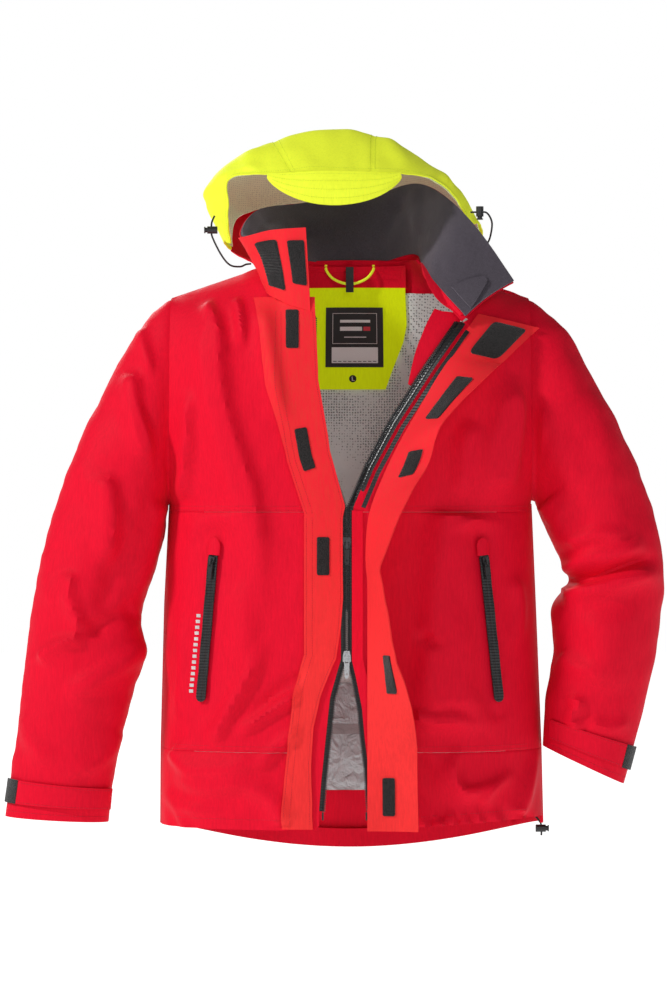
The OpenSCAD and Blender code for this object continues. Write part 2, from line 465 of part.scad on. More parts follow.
// ---- drawcords and their locks ----
hood_cord_right_route = [[-189, -112, 70], [-193, -114, 60], [-193, -114, 50], [-192, -114, 40], [-180, -112, 16],
  [-168, -106, 2], [-154, -98, 0], [-146, -84, 4], [-140, -66, 6]];
hood_cord_left_route = [[168, -112, 75], [181, -112, 75], [191, -111, 74], [198, -107, 62], [197, -102, 46],
  [193, -94, 34], [184, -82, 24], [170, -70, 16], [152, -60, 10]];
module hood_cord_right() color(black) tube(route(hood_cord_right_route, 25), cord_d);
module hood_cord_left() color(black) tube(route(hood_cord_left_route, 25), cord_d);
lock_l = 14;
lock_r = 5.2;
cord_hole_z = 8;
// a cord lock along z, with the cord's hole along x
module lock_barrel() difference() {
  cylinder(r = lock_r, h = lock_l, $fn = 48);
  translate([0, 0, 3]) cylinder(r = 3.7, h = lock_l, $fn = 48);
  translate([-lock_r - 1, 0, cord_hole_z]) rotate([0, 90, 0]) cylinder(r = 2.2, h = 2 * lock_r + 2, $fn = 32);
}
module lock_button() difference() {
  union() {
    translate([0, 0, 5.8]) cylinder(r = 3.4, h = lock_l - 5.8 + 3, $fn = 48);
    translate([0, 0, lock_l + 2.8]) cylinder(r = 4.6, h = 1.6, $fn = 48);
  }
  translate([-5, -2.1, 5.9]) cube([10, 4.2, 6.9]);
}
// each lock's cord hole is on its cord: a place, and the way its button faces
module at_lock(o, c, a) placed(o - cord_hole_z * c, a, cross(c, a), c) children();
right_lock = [[-193, -114, 50], [-1, 0, 0], [0, 0, 1]];
left_lock = [[181, -112, 75], [0, 0, -1], [1, 0, 0]];
hem_lock_at = [[268, -94, -786], [1, 0, 0], [0, 0, 1]];
module hood_locks() color(black) for (l = [right_lock, left_lock]) at_lock(l[0], l[1], l[2]) lock_barrel();
module hood_button_right() color(black) at_lock(right_lock[0], right_lock[1], right_lock[2]) lock_button();
module hood_button_left() color(black) at_lock(left_lock[0], left_lock[1], left_lock[2]) lock_button();
module hem_lock() color(black) at_lock(hem_lock_at[0], hem_lock_at[1], hem_lock_at[2]) lock_barrel();
module hem_button() color(black) at_lock(hem_lock_at[0], hem_lock_at[1], hem_lock_at[2]) lock_button();
// the hem drawcord runs in the back hem from the right side seam and comes out below the left one
cord_inset = 8;
function hem_run(x) = back([x, tail_z(x) + 12]) - [0, cord_inset, 0];
hem_cord_route = concat([for (x = [-225 : 25 : 225]) hem_run(x)],
  [[245, -62, -768], [256, -80, -768], [262, -90, -772], [267, -94, -779], [268, -94, -786], [268, -94, -796]]);
module hem_cord() color(black) tube(route(hem_cord_route, 70), cord_d);

back_yoke();
back_panel();
back_hem_band();
right_chest_panel();
right_front_panel();
right_hem_band();
left_chest_panel();
left_front_panel();
left_hem_band();
right_sleeve_front();
right_sleeve_back();
left_sleeve_front();
left_sleeve_back();
right_cuff_tab();
right_cuff_pad();
left_cuff_tab();
left_cuff_pad();
right_placket_flap();
inner_zip_guard();
storm_flap_upper();
storm_flap_lower();
closure_patches();
flap_patches();
main_zip_tapes();
main_zip_teeth();
zip_end_fittings();
upper_zip_slider();
upper_zip_pull();
lower_zip_slider();
lower_zip_pull();
pocket_zips();
right_pocket_slider();
right_pocket_pull();
left_pocket_slider();
left_pocket_pull();
pocket_garages();
pocket_bags();
collar_shell();
collar_lining();
right_collar_flap();
chin_guard();
neck_facing();
yoke_facing();
care_label();
mesh_lining();
lower_lining();
hanging_loop();
hang_tab();
hood_crown();
hood_peak();
hood_neck();
hood_lining();
hood_cord_right();
hood_cord_left();
hood_locks();
hood_button_right();
hood_button_left();
hem_cord();
hem_lock();
hem_button();
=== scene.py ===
"""Foul weather jacket: cloth pieces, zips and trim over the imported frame. Lengths are in mm until a mesh is made."""
import math

import bpy
import numpy as np
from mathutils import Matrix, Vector


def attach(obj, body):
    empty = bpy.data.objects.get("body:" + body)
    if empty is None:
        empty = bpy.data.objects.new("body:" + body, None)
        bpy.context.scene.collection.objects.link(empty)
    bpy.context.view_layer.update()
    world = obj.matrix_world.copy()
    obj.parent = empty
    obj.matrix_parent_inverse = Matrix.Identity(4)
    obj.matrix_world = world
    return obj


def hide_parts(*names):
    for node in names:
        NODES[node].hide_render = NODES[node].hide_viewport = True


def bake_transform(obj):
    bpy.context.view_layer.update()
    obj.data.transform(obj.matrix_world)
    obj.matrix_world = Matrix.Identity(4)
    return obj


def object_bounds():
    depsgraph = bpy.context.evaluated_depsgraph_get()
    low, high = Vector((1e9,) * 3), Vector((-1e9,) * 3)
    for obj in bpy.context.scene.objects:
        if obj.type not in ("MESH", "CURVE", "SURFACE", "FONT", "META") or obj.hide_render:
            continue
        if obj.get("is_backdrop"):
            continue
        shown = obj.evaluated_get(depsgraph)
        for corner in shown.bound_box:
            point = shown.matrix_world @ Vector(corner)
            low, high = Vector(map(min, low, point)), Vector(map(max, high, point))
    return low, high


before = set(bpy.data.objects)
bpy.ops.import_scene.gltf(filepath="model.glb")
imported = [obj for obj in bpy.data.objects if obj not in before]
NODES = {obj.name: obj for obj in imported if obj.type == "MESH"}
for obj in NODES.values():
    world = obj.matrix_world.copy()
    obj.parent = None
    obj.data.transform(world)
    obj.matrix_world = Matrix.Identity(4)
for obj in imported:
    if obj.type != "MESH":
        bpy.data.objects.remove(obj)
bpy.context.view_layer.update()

MM = 0.001
TAU = 2 * math.pi

# ---------------------------------------------------------------- camera, lights and stage


def look_at(obj, target):
    direction = Vector(target) - obj.location
    obj.rotation_euler = direction.to_track_quat("-Z", "Y").to_euler()


def area_light(name, place, target, size, power, colour=(1, 1, 1)):
    data = bpy.data.lights.new(name, "AREA")
    data.shape = "DISK"
    data.size = size
    data.energy = power
    data.color = colour
    light = bpy.data.objects.new(name, data)
    light.location = place
    light.visible_camera = False
    bpy.context.scene.collection.objects.link(light)
    look_at(light, target)
    return light


def make_camera():
    data = bpy.data.cameras.new("camera")
    data.sensor_fit = "VERTICAL"
    data.sensor_height = 36
    data.lens = 126.9
    camera = bpy.data.objects.new("camera", data)
    camera.location = (-0.0231, -5.03, -0.3265)
    camera.rotation_euler = (math.radians(90), 0, 0)
    bpy.context.scene.collection.objects.link(camera)
    bpy.context.scene.camera = camera


def make_world():
    world = bpy.data.worlds.new("studio")
    bpy.context.scene.world = world
    world.use_nodes = True
    tree = world.node_tree
    fill = tree.nodes["Background"]
    fill.inputs["Color"].default_value = (1, 1, 1, 1)
    fill.inputs["Strength"].default_value = 0.13
    backdrop = tree.nodes.new("ShaderNodeBackground")
    backdrop.inputs["Color"].default_value = (1, 1, 1, 1)
    mixer = tree.nodes.new("ShaderNodeMixShader")
    tree.links.new(tree.nodes.new("ShaderNodeLightPath").outputs["Is Camera Ray"], mixer.inputs[0])
    tree.links.new(fill.outputs[0], mixer.inputs[1])
    tree.links.new(backdrop.outputs[0], mixer.inputs[2])
    tree.links.new(mixer.outputs[0], tree.nodes["World Output"].inputs["Surface"])
    bpy.context.scene.view_settings.view_transform = "Standard"


def make_stage():
    """A pale round floor under the jacket."""
    verts = [(9 * math.cos(a), 9 * math.sin(a), -0.93) for a in np.linspace(0, 2 * math.pi, 65)[:-1]]
    faces = [tuple(range(64))]
    mesh = bpy.data.meshes.new("stage")
    mesh.from_pydata(verts, [], faces)
    stage = bpy.data.objects.new("stage", mesh)
    bpy.context.scene.collection.objects.link(stage)
    material = bpy.data.materials.new("stage_paper")
    material.use_nodes = True
    shader = material.node_tree.nodes["Principled BSDF"]
    shader.inputs["Base Color"].default_value = (0.35, 0.35, 0.35, 1)
    shader.inputs["Roughness"].default_value = 0.9
    shader.inputs["Emission Color"].default_value = (1, 1, 1, 1)
    shader.inputs["Emission Strength"].default_value = 0.97
    mesh.materials.append(material)
    stage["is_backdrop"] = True


make_camera()
make_world()
make_stage()
area_light("key", (-3.1, -1.9, 2.0), (0, -0.15, -0.25), 0.5, 112)
area_light("front", (0.9, -4.4, 1.1), (0, -0.1, -0.4), 1.4, 30)
area_light("back", (-1.6, 3.6, 1.6), (0, 0, -0.3), 1.2, 60)
area_light("rim", (2.9, -0.3, 0.9), (0.1, -0.1, -0.2), 0.8, 3)

# ---------------------------------------------------------------- materials


class Shader:
    """A Principled material with a few helpers for its nodes."""

    def __init__(self, name, rough=0.6, metal=0.0):
        self.material = bpy.data.materials.new(name)
        self.material.use_nodes = True
        self.tree = self.material.node_tree
        self.shader = self.tree.nodes["Principled BSDF"]
        self.set("Roughness", rough)
        self.set("Metallic", metal)
        self.place = self.node("ShaderNodeTexCoord").outputs["Object"]
        self.height = None

    def node(self, kind, **settings):
        made = self.tree.nodes.new(kind)
        for key, value in settings.items():
            setattr(made, key, value)
        return made

    def set(self, socket, value):
        self.shader.inputs[socket].default_value = value

    def link(self, a, b):
        self.tree.links.new(a, b)

    def noise(self, scale, detail=3.0, rough=0.55, distortion=0.0, stretch=(1, 1, 1)):
        mapping = self.node("ShaderNodeMapping")
        mapping.inputs["Scale"].default_value = stretch
        self.link(self.place, mapping.inputs["Vector"])
        made = self.node("ShaderNodeTexNoise")
        made.inputs["Scale"].default_value = scale
        made.inputs["Detail"].default_value = detail
        made.inputs["Roughness"].default_value = rough
        made.inputs["Distortion"].default_value = distortion
        self.link(mapping.outputs["Vector"], made.inputs["Vector"])
        return made.outputs["Fac"]

    def rise(self, low, high):
        """0 below the low height and 1 above the high one, in metres."""
        height = self.node("ShaderNodeSeparateXYZ")
        self.link(self.place, height.inputs["Vector"])
        spread = self.node("ShaderNodeMapRange")
        spread.inputs["From Min"].default_value = low
        spread.inputs["From Max"].default_value = high
        self.link(height.outputs["Z"], spread.inputs["Value"])
        return spread.outputs["Result"]

    def wave(self, scale, turn, distortion=0.6):
        mapping = self.node("ShaderNodeMapping")
        mapping.inputs["Rotation"].default_value = turn
        self.link(self.place, mapping.inputs["Vector"])
        made = self.node("ShaderNodeTexWave")
        made.inputs["Scale"].default_value = scale
        made.inputs["Distortion"].default_value = distortion
        made.inputs["Detail"].default_value = 1
        self.link(mapping.outputs["Vector"], made.inputs["Vector"])
        return made.outputs["Fac"]

    def cells(self, scale, uneven=1.0):
        made = self.node("ShaderNodeTexVoronoi")
        made.inputs["Scale"].default_value = scale
        made.inputs["Randomness"].default_value = uneven
        self.link(self.place, made.inputs["Vector"])
        return made.outputs["Distance"]

    def ramp(self, value, low, high, a=(0, 0, 0), b=(1, 1, 1)):
        made = self.node("ShaderNodeValToRGB")
        made.color_ramp.elements[0].position = low
        made.color_ramp.elements[1].position = high
        made.color_ramp.elements[0].color = (*a, 1)
        made.color_ramp.elements[1].color = (*b, 1)
        self.link(value, made.inputs["Fac"])
        return made.outputs["Color"]

    def mixed(self, factor, a, b):
        made = self.node("ShaderNodeMix", data_type="RGBA")
        self.link(factor, made.inputs[0])
        for socket, value in ((made.inputs[6], a), (made.inputs[7], b)):
            if isinstance(value, tuple):
                socket.default_value = (*value, 1)
            else:
                self.link(value, socket)
        return made.outputs[2]

    def bump(self, value, distance, strength=1.0):
        made = self.node("ShaderNodeBump")
        made.inputs["Distance"].default_value = distance
        made.inputs["Strength"].default_value = strength
        self.link(value, made.inputs["Height"])
        if self.height is not None:
            self.link(self.height, made.inputs["Normal"])
        self.height = made.outputs["Normal"]
        self.link(self.height, self.shader.inputs["Normal"])

    def colour(self, value):
        if isinstance(value, tuple):
            self.set("Base Color", (*value, 1))
        else:
            self.link(value, self.shader.inputs["Base Color"])


def shade(colour, k):
    return tuple(min(1.0, c * k) for c in colour)


def shell_fabric(name, colour, painted_glow=0.0, crinkle=1.0, upper=None):
    """Coated nylon: a fine weave, soft crinkles and slightly uneven dye; an optional top colour is painted shade that
    takes over towards the top.
    """
    s = Shader(name, 0.62)
    s.set("Specular IOR Level", 0.09)
    s.set("Sheen Weight", 0.02)
    s.set("Sheen Roughness", 0.5)
    uneven = s.mixed(s.noise(14, 4), shade(colour, 0.93), shade(colour, 1.06))
    # painted shade: between heights -0.56 and -0.3 m the colour turns to the darker top colour
    if upper:
        uneven = s.mixed(s.rise(-0.56, -0.3), uneven, shade(upper, 1))
    streaks = s.noise(420, 5, 0.7, stretch=(1, 1, 0.12))
    mottle_and_shade = s.mixed(s.ramp(streaks, 0.35, 0.65), shade(colour, 0.82), uneven)
    warp = s.wave(330, (0, 0, 0))
    weft = s.wave(330, (0, math.radians(90), 0))
    threads = s.node("ShaderNodeMath", operation="MAXIMUM")
    s.link(warp, threads.inputs[0])
    s.link(weft, threads.inputs[1])
    s.colour(s.mixed(s.ramp(threads.outputs[0], 0.1, 0.9), shade(colour, 0.9), mottle_and_shade))
    s.bump(s.noise(26, 2, 0.5, 0.8), 0.0016 * crinkle, 0.55)
    s.bump(s.noise(90, 4, 0.6, 0.6), 0.0005 * crinkle, 0.6)
    s.bump(threads.outputs[0], 0.00008, 0.5)
    # painted glow: emission in the fabric's own colour brightens it wherever it lies, lit or shaded
    if painted_glow:
        s.set("Emission Color", (*colour, 1))
        s.set("Emission Strength", painted_glow)
    return s.material


def fleece_fabric(name, colour):
    s = Shader(name, 0.95)
    s.set("Specular IOR Level", 0.1)
    s.set("Sheen Weight", 0.55)
    s.set("Sheen Roughness", 0.6)
    s.set("Sheen Tint", (0.55, 0.5, 0.58, 1))
    fuzz = s.noise(700, 6, 0.7, 1.2)
    s.colour(s.mixed(s.ramp(fuzz, 0.3, 0.7), shade(colour, 0.55), shade(colour, 1.35)))
    s.bump(s.noise(60, 3), 0.0018, 0.5)
    s.bump(fuzz, 0.0009, 0.9)
    return s.material


def net_fabric(name, thread, hole_shade, pitch=0.0034, painted_glow=0.0):
    """Open polyester net: round holes in rows between pale threads, the holes painted dark as the shaded cloth seen
    through them.
    """
    s = Shader(name, 0.7)
    s.set("Specular IOR Level", 0.25)
    holes = s.cells(1 / pitch, 0.25)
    net = s.ramp(holes, 0.22, 0.4)
    tone = s.mixed(s.noise(30, 3), shade(thread, 0.85), shade(thread, 1.12))
    # painted shade: the hole colour stands for the dim cloth behind the net
    s.colour(s.mixed(net, hole_shade, tone))
    s.bump(net, 0.0005, 0.8)
    s.bump(s.noise(35, 3), 0.002, 0.5)
    # painted glow: emission in the thread colour brightens the net wherever it lies, lit or shaded
    if painted_glow:
        s.set("Emission Color", (*thread, 1))
        s.set("Emission Strength", painted_glow)
    return s.material


def lining_fabric(name, colour, crinkle=1.0):
    s = Shader(name, 0.42)
    s.set("Specular IOR Level", 0.5)
    s.set("Sheen Weight", 0.2)
    weave = s.wave(420, (0, math.radians(45), 0))
    s.colour(s.mixed(s.noise(20, 4), shade(colour, 0.8), shade(colour, 1.15)))
    s.bump(s.noise(34, 3, 0.5, 1.5), 0.008 * crinkle, 1.0)
    s.bump(s.noise(90, 3, 0.5, 1.0), 0.0025 * crinkle, 0.8)
    s.bump(weave, 0.00006, 0.5)
    return s.material


def pile_fabric(name, colour):
    """The loop half of a touch fastener: short dense pile."""
    s = Shader(name, 0.9)
    s.set("Specular IOR Level", 0.2)
    s.set("Sheen Weight", 0.3)
    loops = s.cells(900)
    s.colour(s.mixed(s.ramp(loops, 0.1, 0.7), shade(colour, 2.4), shade(colour, 0.5)))
    s.bump(loops, 0.0007, 0.9)
    s.bump(s.noise(240, 3), 0.0006, 0.6)
    return s.material


def tape_fabric(name, colour, rough=0.75, pitch=0.0012):
    s = Shader(name, rough)
    ribs = s.wave(0.31 / pitch, (0, math.radians(90), 0), 0.1)
    s.colour(s.mixed(ribs, shade(colour, 0.6), shade(colour, 1.5)))
    s.bump(ribs, 0.0002, 0.7)
    s.bump(s.noise(40, 2), 0.0008, 0.4)
    return s.material


def plastic(name, colour, rough=0.35):
    s = Shader(name, rough)
    grain = s.noise(1500, 2)
    s.colour(s.mixed(s.noise(90, 3), shade(colour, 0.7), shade(colour, 1.5)))
    s.bump(grain, 0.00004, 0.6)
    return s.material


def metal(name, colour, rough=0.3):
    s = Shader(name, rough, 1.0)
    s.colour(s.mixed(s.noise(220, 4), shade(colour, 0.72), shade(colour, 1.1)))
    s.bump(s.noise(900, 3), 0.00005, 0.6)
    return s.material


def braid(name, colour):
    s = Shader(name, 0.8)
    a = s.wave(260, (0, math.radians(38), 0), 0)
    b = s.wave(260, (0, math.radians(-38), 0), 0)
    over = s.node("ShaderNodeMath", operation="MAXIMUM")
    s.link(a, over.inputs[0])
    s.link(b, over.inputs[1])
    s.colour(s.mixed(over.outputs[0], shade(colour, 0.5), shade(colour, 2.2)))
    s.bump(over.outputs[0], 0.0003, 0.8)
    return s.material


RED = (0.82, 0.003, 0.026)
LIME = (0.80, 0.90, 0.04)
FACING_LIME = (0.52, 0.62, 0.002)
BLACK = (0.012, 0.012, 0.013)

shell_red = shell_fabric("shell_red", RED)
# painted light: the placket, storm flap and collar flap use a paler, lit copy of the red shell, with painted shade
# darkening it towards the top
flap_red_painted_lit = shell_fabric("flap_red_painted_lit", (0.95, 0.035, 0.036), crinkle=0.8, upper=(0.88, 0.008, 0.03))
# the lime fabrics carry a painted glow, strongest on the facing inside the neck
shell_lime = shell_fabric("shell_lime", LIME, painted_glow=0.2, crinkle=1.1)
facing_lime = shell_fabric("facing_lime", FACING_LIME, painted_glow=0.42, crinkle=0.7)
red_thread = plastic("red_thread", (0.45, 0.004, 0.02), 0.6)
lime_thread = plastic("lime_thread", (0.55, 0.66, 0.02), 0.6)
dark_thread = plastic("dark_thread", (0.05, 0.045, 0.05), 0.6)
fleece = fleece_fabric("fleece", (0.062, 0.052, 0.066))
# the nets carry a painted glow that lifts them in the shade inside the jacket and hood
net = net_fabric("net", (0.62, 0.64, 0.62), (0.05, 0.045, 0.045), 0.0038, painted_glow=0.09)
hood_net = net_fabric("hood_net", (0.64, 0.68, 0.46), (0.30, 0.32, 0.22), 0.0026, painted_glow=0.2)
silver = lining_fabric("silver", (0.50, 0.55, 0.56))
seam_tape = lining_fabric("seam_tape", (0.34, 0.33, 0.33), 0.3)
pile = pile_fabric("pile", (0.014, 0.012, 0.012))
zip_tape = tape_fabric("zip_tape", (0.018, 0.018, 0.02))
laminate = tape_fabric("laminate", (0.010, 0.010, 0.011), 0.28, 0.004)
tooth_black = plastic("tooth_black", (0.016, 0.016, 0.018), 0.3)
slider_dark = metal("slider_dark", (0.10, 0.10, 0.105), 0.38)
slider_silver = metal("slider_silver", (0.62, 0.62, 0.64), 0.26)
pull_black = plastic("pull_black", (0.02, 0.02, 0.022), 0.32)
lock_black = plastic("lock_black", (0.016, 0.016, 0.017), 0.42)
label_black = tape_fabric("label_black", (0.012, 0.012, 0.013), 0.5, 0.0007)
label_white = tape_fabric("label_white", (0.98, 1.0, 0.99), 0.6, 0.0007)
print_grey = plastic("print_grey", (0.55, 0.5, 0.5), 0.5)
mark_red = plastic("mark_red", (0.62, 0.03, 0.05), 0.6)
cord_black = braid("cord_black", (0.014, 0.013, 0.013))

# ---------------------------------------------------------------- curves and surfaces


def mix(a, b, t):
    return a + (b - a) * t


def spline(points, t):
    """The smooth curve through the points, at t from 0 to 1."""
    p = np.asarray(points, float)
    spans = len(p) - 1
    s = np.clip(np.asarray(t, float), 0, 0.99999) * spans
    i = np.floor(s).astype(int)
    f = (s - i)[..., None]
    p0, p1, p2, p3 = p[np.maximum(i - 1, 0)], p[i], p[i + 1], p[np.minimum(i + 2, spans)]
    return 0.5 * (2 * p1 + (p2 - p0) * f + (2 * p0 - 5 * p1 + 4 * p2 - p3) * f * f
                  + (3 * p1 - p0 - 3 * p2 + p3) * f ** 3)


def table(z, rows):
    rows = np.asarray(rows, float)
    return np.interp(z, rows[:, 0], rows[:, 1])


def unit(v):
    return v / np.maximum(np.linalg.norm(v, axis=-1, keepdims=True), 1e-9)


def ripples(p, size, seed, count=16):
    """Smooth uneven ripples of about this size, from about -1 to 1."""
    rng = np.random.default_rng(seed)
    total = 0
    for _ in range(count):
        way = unit(rng.normal(size=p.shape[-1]))
        k = TAU / (size * rng.uniform(0.6, 1.7))
        total = total + np.sin(p @ way * k + rng.uniform(0, TAU))
    return total / math.sqrt(count)


MID_Y, BODY_DEPTH, SLOPE_Z, SEAM = -95, 125, -200, 0.6
CHEST_SEAM, BAND_SEAM, HEM, TAIL = -343, -672, -778, -824
RIGHT_WIDTHS = [[-840, 265], [-670, 264], [-470, 259], [-330, 252], [-200, 250], [-45, 250]]
LEFT_WIDTHS = [[-840, 271], [-670, 267], [-470, 259], [-330, 253], [-200, 250], [-45, 250]]
RIGHT_LINE = [[-755, -35], [-713, -32], [-655, -26], [-598, -20], [-562, -10], [-546, -5],
              [-335, -5], [-259, -30], [-161, -47], [-58, -46]]
LEFT_LINE = [[-755, 22], [-697, 18], [-648, 12], [-613, 9], [-572, 1], [-546, -5],
             [-335, -5], [-280, 18], [-217, 52], [-140, 102], [-72, 150]]


def side_x(z, s):
    return np.where(np.asarray(s) < 0, -table(z, RIGHT_WIDTHS), table(z, LEFT_WIDTHS))


def shoulder_z(x):
    a = np.abs(x)
    return np.where(a < 95, 8 + 80 * (1 - (a / 95) ** 2), mix(8, -45, np.clip((a - 95) / 155, 0, 1)))


def depth(x, z):
    q = np.clip((z - SLOPE_Z) / (shoulder_z(x) - SLOPE_Z), 0, 1)
    rounding = np.sqrt(np.maximum(0, 1 - q ** 3))
    k = (z + 188) / 143
    a = 70 * np.sqrt(np.maximum(0, 1 - k * k))
    d = BODY_DEPTH * rounding
    u = np.minimum(np.abs(x / side_x(z, np.where(x < 0, -1, 1))), 1)
    return np.maximum(SEAM, np.sqrt(np.maximum(0, d * d - a * a) * (1 - u ** 2.6) + a * a))


def front(x, z):
    return np.stack([x, MID_Y - depth(x, z), z], -1)


def back(x, z):
    return np.stack([x, MID_Y + depth(x, z), z], -1)


def zip_x(z, s):
    return table(z, RIGHT_LINE if s < 0 else LEFT_LINE)


def zip_slope(z, s):
    return (zip_x(z + 8, s) - zip_x(z - 8, s)) / 16


def beside(z, s, d):
    """x and z at distance d to the left of the zip's centre line on one side."""
    k = zip_slope(z, s)
    r = np.sqrt(1 + k * k)
    return zip_x(z, s) + d / r, z - d * k / r


def panel_edge_x(z, s):
    return zip_x(z, s) + s * 9 * np.sqrt(1 + zip_slope(z, s) ** 2)


RIGHT_OUTER = [[-252, -45], [-291, -84], [-331, -151], [-375, -246], [-413, -343], [-441, -460],
               [-455, -570], [-467, -670], [-480, -766]]
RIGHT_INNER = [[-254, -332], [-258, -352], [-264, -385], [-274, -425], [-292, -488], [-287, -540],
               [-306, -610], [-326, -690], [-336, -774]]
LEFT_OUTER = [[252, -45], [303, -92], [344, -165], [384, -239], [413, -312], [436, -395],
              [435, -480], [421, -565], [403, -640], [381, -721]]
LEFT_INNER = [[259, -328], [264, -340], [271, -358], [280, -380], [291, -406], [303, -440],
              [282, -476], [284, -535], [272, -604], [268, -668]]
SLEEVE_DEPTHS = [[70], [76], [78], [76], [72], [66], [60], [52], [42]]


def sleeve(s, t, angle):
    outer = spline(RIGHT_OUTER if s < 0 else LEFT_OUTER, t)
    inner = spline(RIGHT_INNER if s < 0 else LEFT_INNER, t)
    a = np.radians(angle)
    c = (outer + inner) / 2 + (outer - inner) / 2 * np.cos(a)[..., None]
    b = spline(SLEEVE_DEPTHS, t)[..., 0]
    return np.stack([c[..., 0], MID_Y - 25 * t - b * np.sin(a), c[..., 1]], -1)


# ---------------------------------------------------------------- folds
# A fold: points [x, z] along its ridge, its width and height, how much steeper its far side is, and how much of
# each end fades out.


def fold(p, points, width, height, steep=1.0, fade=(0.3, 0.3)):
    line = spline(points, np.linspace(0, 1, 21))
    a, b = line[:-1], line[1:]
    ab = b - a
    rel = p[..., None, :] - a
    s = np.clip((rel * ab).sum(-1) / (ab * ab).sum(-1), 0, 1)
    off = rel - s[..., None] * ab
    d = np.linalg.norm(off, axis=-1)
    k = d.argmin(-1)[..., None]
    near = np.take_along_axis(d, k, -1)[..., 0]
    along = (k[..., 0] + np.take_along_axis(s, k, -1)[..., 0]) / len(ab)
    o = np.take_along_axis(off, k[..., None], -2)[..., 0, :]
    t = ab[k[..., 0]]
    side = t[..., 0] * o[..., 1] - t[..., 1] * o[..., 0]
    q = near / width * np.where(side > 0, steep, 1.0)
    start = np.clip(along / fade[0], 0, 1) if fade[0] else 1
    end = np.clip((1 - along) / fade[1], 0, 1) if fade[1] else 1
    fading = start * end
    return height * np.exp(-q * q) * fading * fading * (3 - 2 * fading)


FRONT_FOLDS = [
    # the right half: a long drape down from the shoulder, and creases above the band
    ([[-189, -49], [-176, -189], [-142, -301], [-126, -380], [-122, -500]], 30, 8.5, 2.2, (0.15, 0.4)),
    ([[-218, -170], [-222, -250], [-230, -330]], 16, 5.5, 2.0, (0.3, 0.2)),
    ([[-196, -50], [-182, -90], [-172, -130]], 11, 4.5, 1.8, (0.2, 0.4)),
    ([[-156, -45], [-148, -85], [-150, -120]], 10, 4.5, 1.8, (0.2, 0.4)),
    ([[-118, -60], [-104, -150], [-88, -230]], 16, 4.0, 1.6, (0.2, 0.4)),
    ([[-150, -430], [-142, -500], [-150, -560]], 24, 3.5, 1.5, (0.4, 0.4)),
    ([[-115, -520], [-150, -590], [-190, -665]], 15, 6, 1.6, (0.4, 0.2)),
    ([[-56, -560], [-98, -590], [-152, -640]], 9, -4, 1.5, (0.3, 0.4)),
    ([[-62, -590], [-105, -612], [-160, -655]], 13, 4.5, 2.0, (0.3, 0.3)),
    ([[-60, -640], [-100, -665], [-128, -700]], 10, 3.5, 1.6, (0.3, 0.4)),
    ([[-226, -388], [-205, -362], [-170, -356], [-160, -385]], 10, 3.5, 0.8, (0.3, 0.4)),
    ([[-250, -672], [-215, -696], [-160, -692], [-95, -676]], 12, 5, 0.6, (0.1, 0.3)),
    ([[-245, -705], [-200, -722], [-150, -716], [-108, -738], [-90, -772]], 12, 4.5, 0.7, (0.2, 0.1)),
    ([[-262, -735], [-225, -752], [-170, -745]], 10, 3.5, 0.8, (0.1, 0.4)),
    ([[-235, -480], [-232, -560], [-240, -640]], 12, 2.2, 1.4, (0.3, 0.3)),
    # the left half: a lit ridge beside the storm flap, a drooping ledge, and the gathered hem
    ([[142, -340], [130, -440], [122, -540], [114, -640]], 27, 9.5, 0.6, (0.06, 0.25)),
    ([[150, -350], [142, -430], [150, -520]], 18, -4.5, 1.0, (0.2, 0.4)),
    ([[92, -505], [110, -520], [130, -534]], 8, -4.5, 1.5, (0.3, 0.4)),
    ([[84, -618], [112, -628], [140, -626], [180, -644]], 13, 6.5, 1.6, (0.1, 0.4)),
    ([[150, -660], [140, -700], [160, -726], [210, -712]], 12, 5.5, 1.8, (0.3, 0.3)),
    ([[90, -665], [106, -725], [132, -765]], 14, -4, 1.0, (0.2, 0.2)),
    ([[232, -760], [248, -715], [266, -668]], 12, 5, 1.5, (0.1, 0.2)),
    ([[180, -745], [196, -720], [228, -700]], 10, 3.5, 1.4, (0.2, 0.4)),
    ([[224, -430], [236, -470], [232, -530]], 12, 3.5, 1.3, (0.3, 0.4)),
    ([[120, -560], [160, -600], [210, -640]], 20, 3.0, 1.3, (0.4, 0.3)),
    ([[228, -150], [212, -210], [196, -270], [192, -340]], 24, 7, 0.8, (0.3, 0.3)),
    ([[168, -215], [156, -260], [150, -330]], 15, 4.5, 1.2, (0.3, 0.3)),
    ([[236, -170], [222, -240], [214, -320]], 16, 3.5, 1.3, (0.3, 0.3)),
]
BACK_FOLDS = [
    ([[-190, -120], [-160, -300], [-170, -520]], 34, 5, 1.0, (0.3, 0.4)),
    ([[180, -120], [165, -320], [180, -560]], 34, 5, 1.0, (0.3, 0.4)),
    ([[-20, -200], [-10, -420], [-30, -640]], 46, 4, 1.0, (0.4, 0.4)),
    ([[-240, -600], [-150, -640], [-60, -620]], 16, 4, 1.5, (0.2, 0.4)),
    ([[240, -620], [150, -655], [60, -640]], 16, 4.5, 1.5, (0.2, 0.4)),
    ([[-120, -700], [-20, -712], [100, -700]], 14, 3.5, 1.2, (0.3, 0.3)),
    ([[-90, -40], [-60, -120], [0, -150], [60, -120], [90, -40]], 18, 3.5, 1.0, (0.3, 0.3)),
]
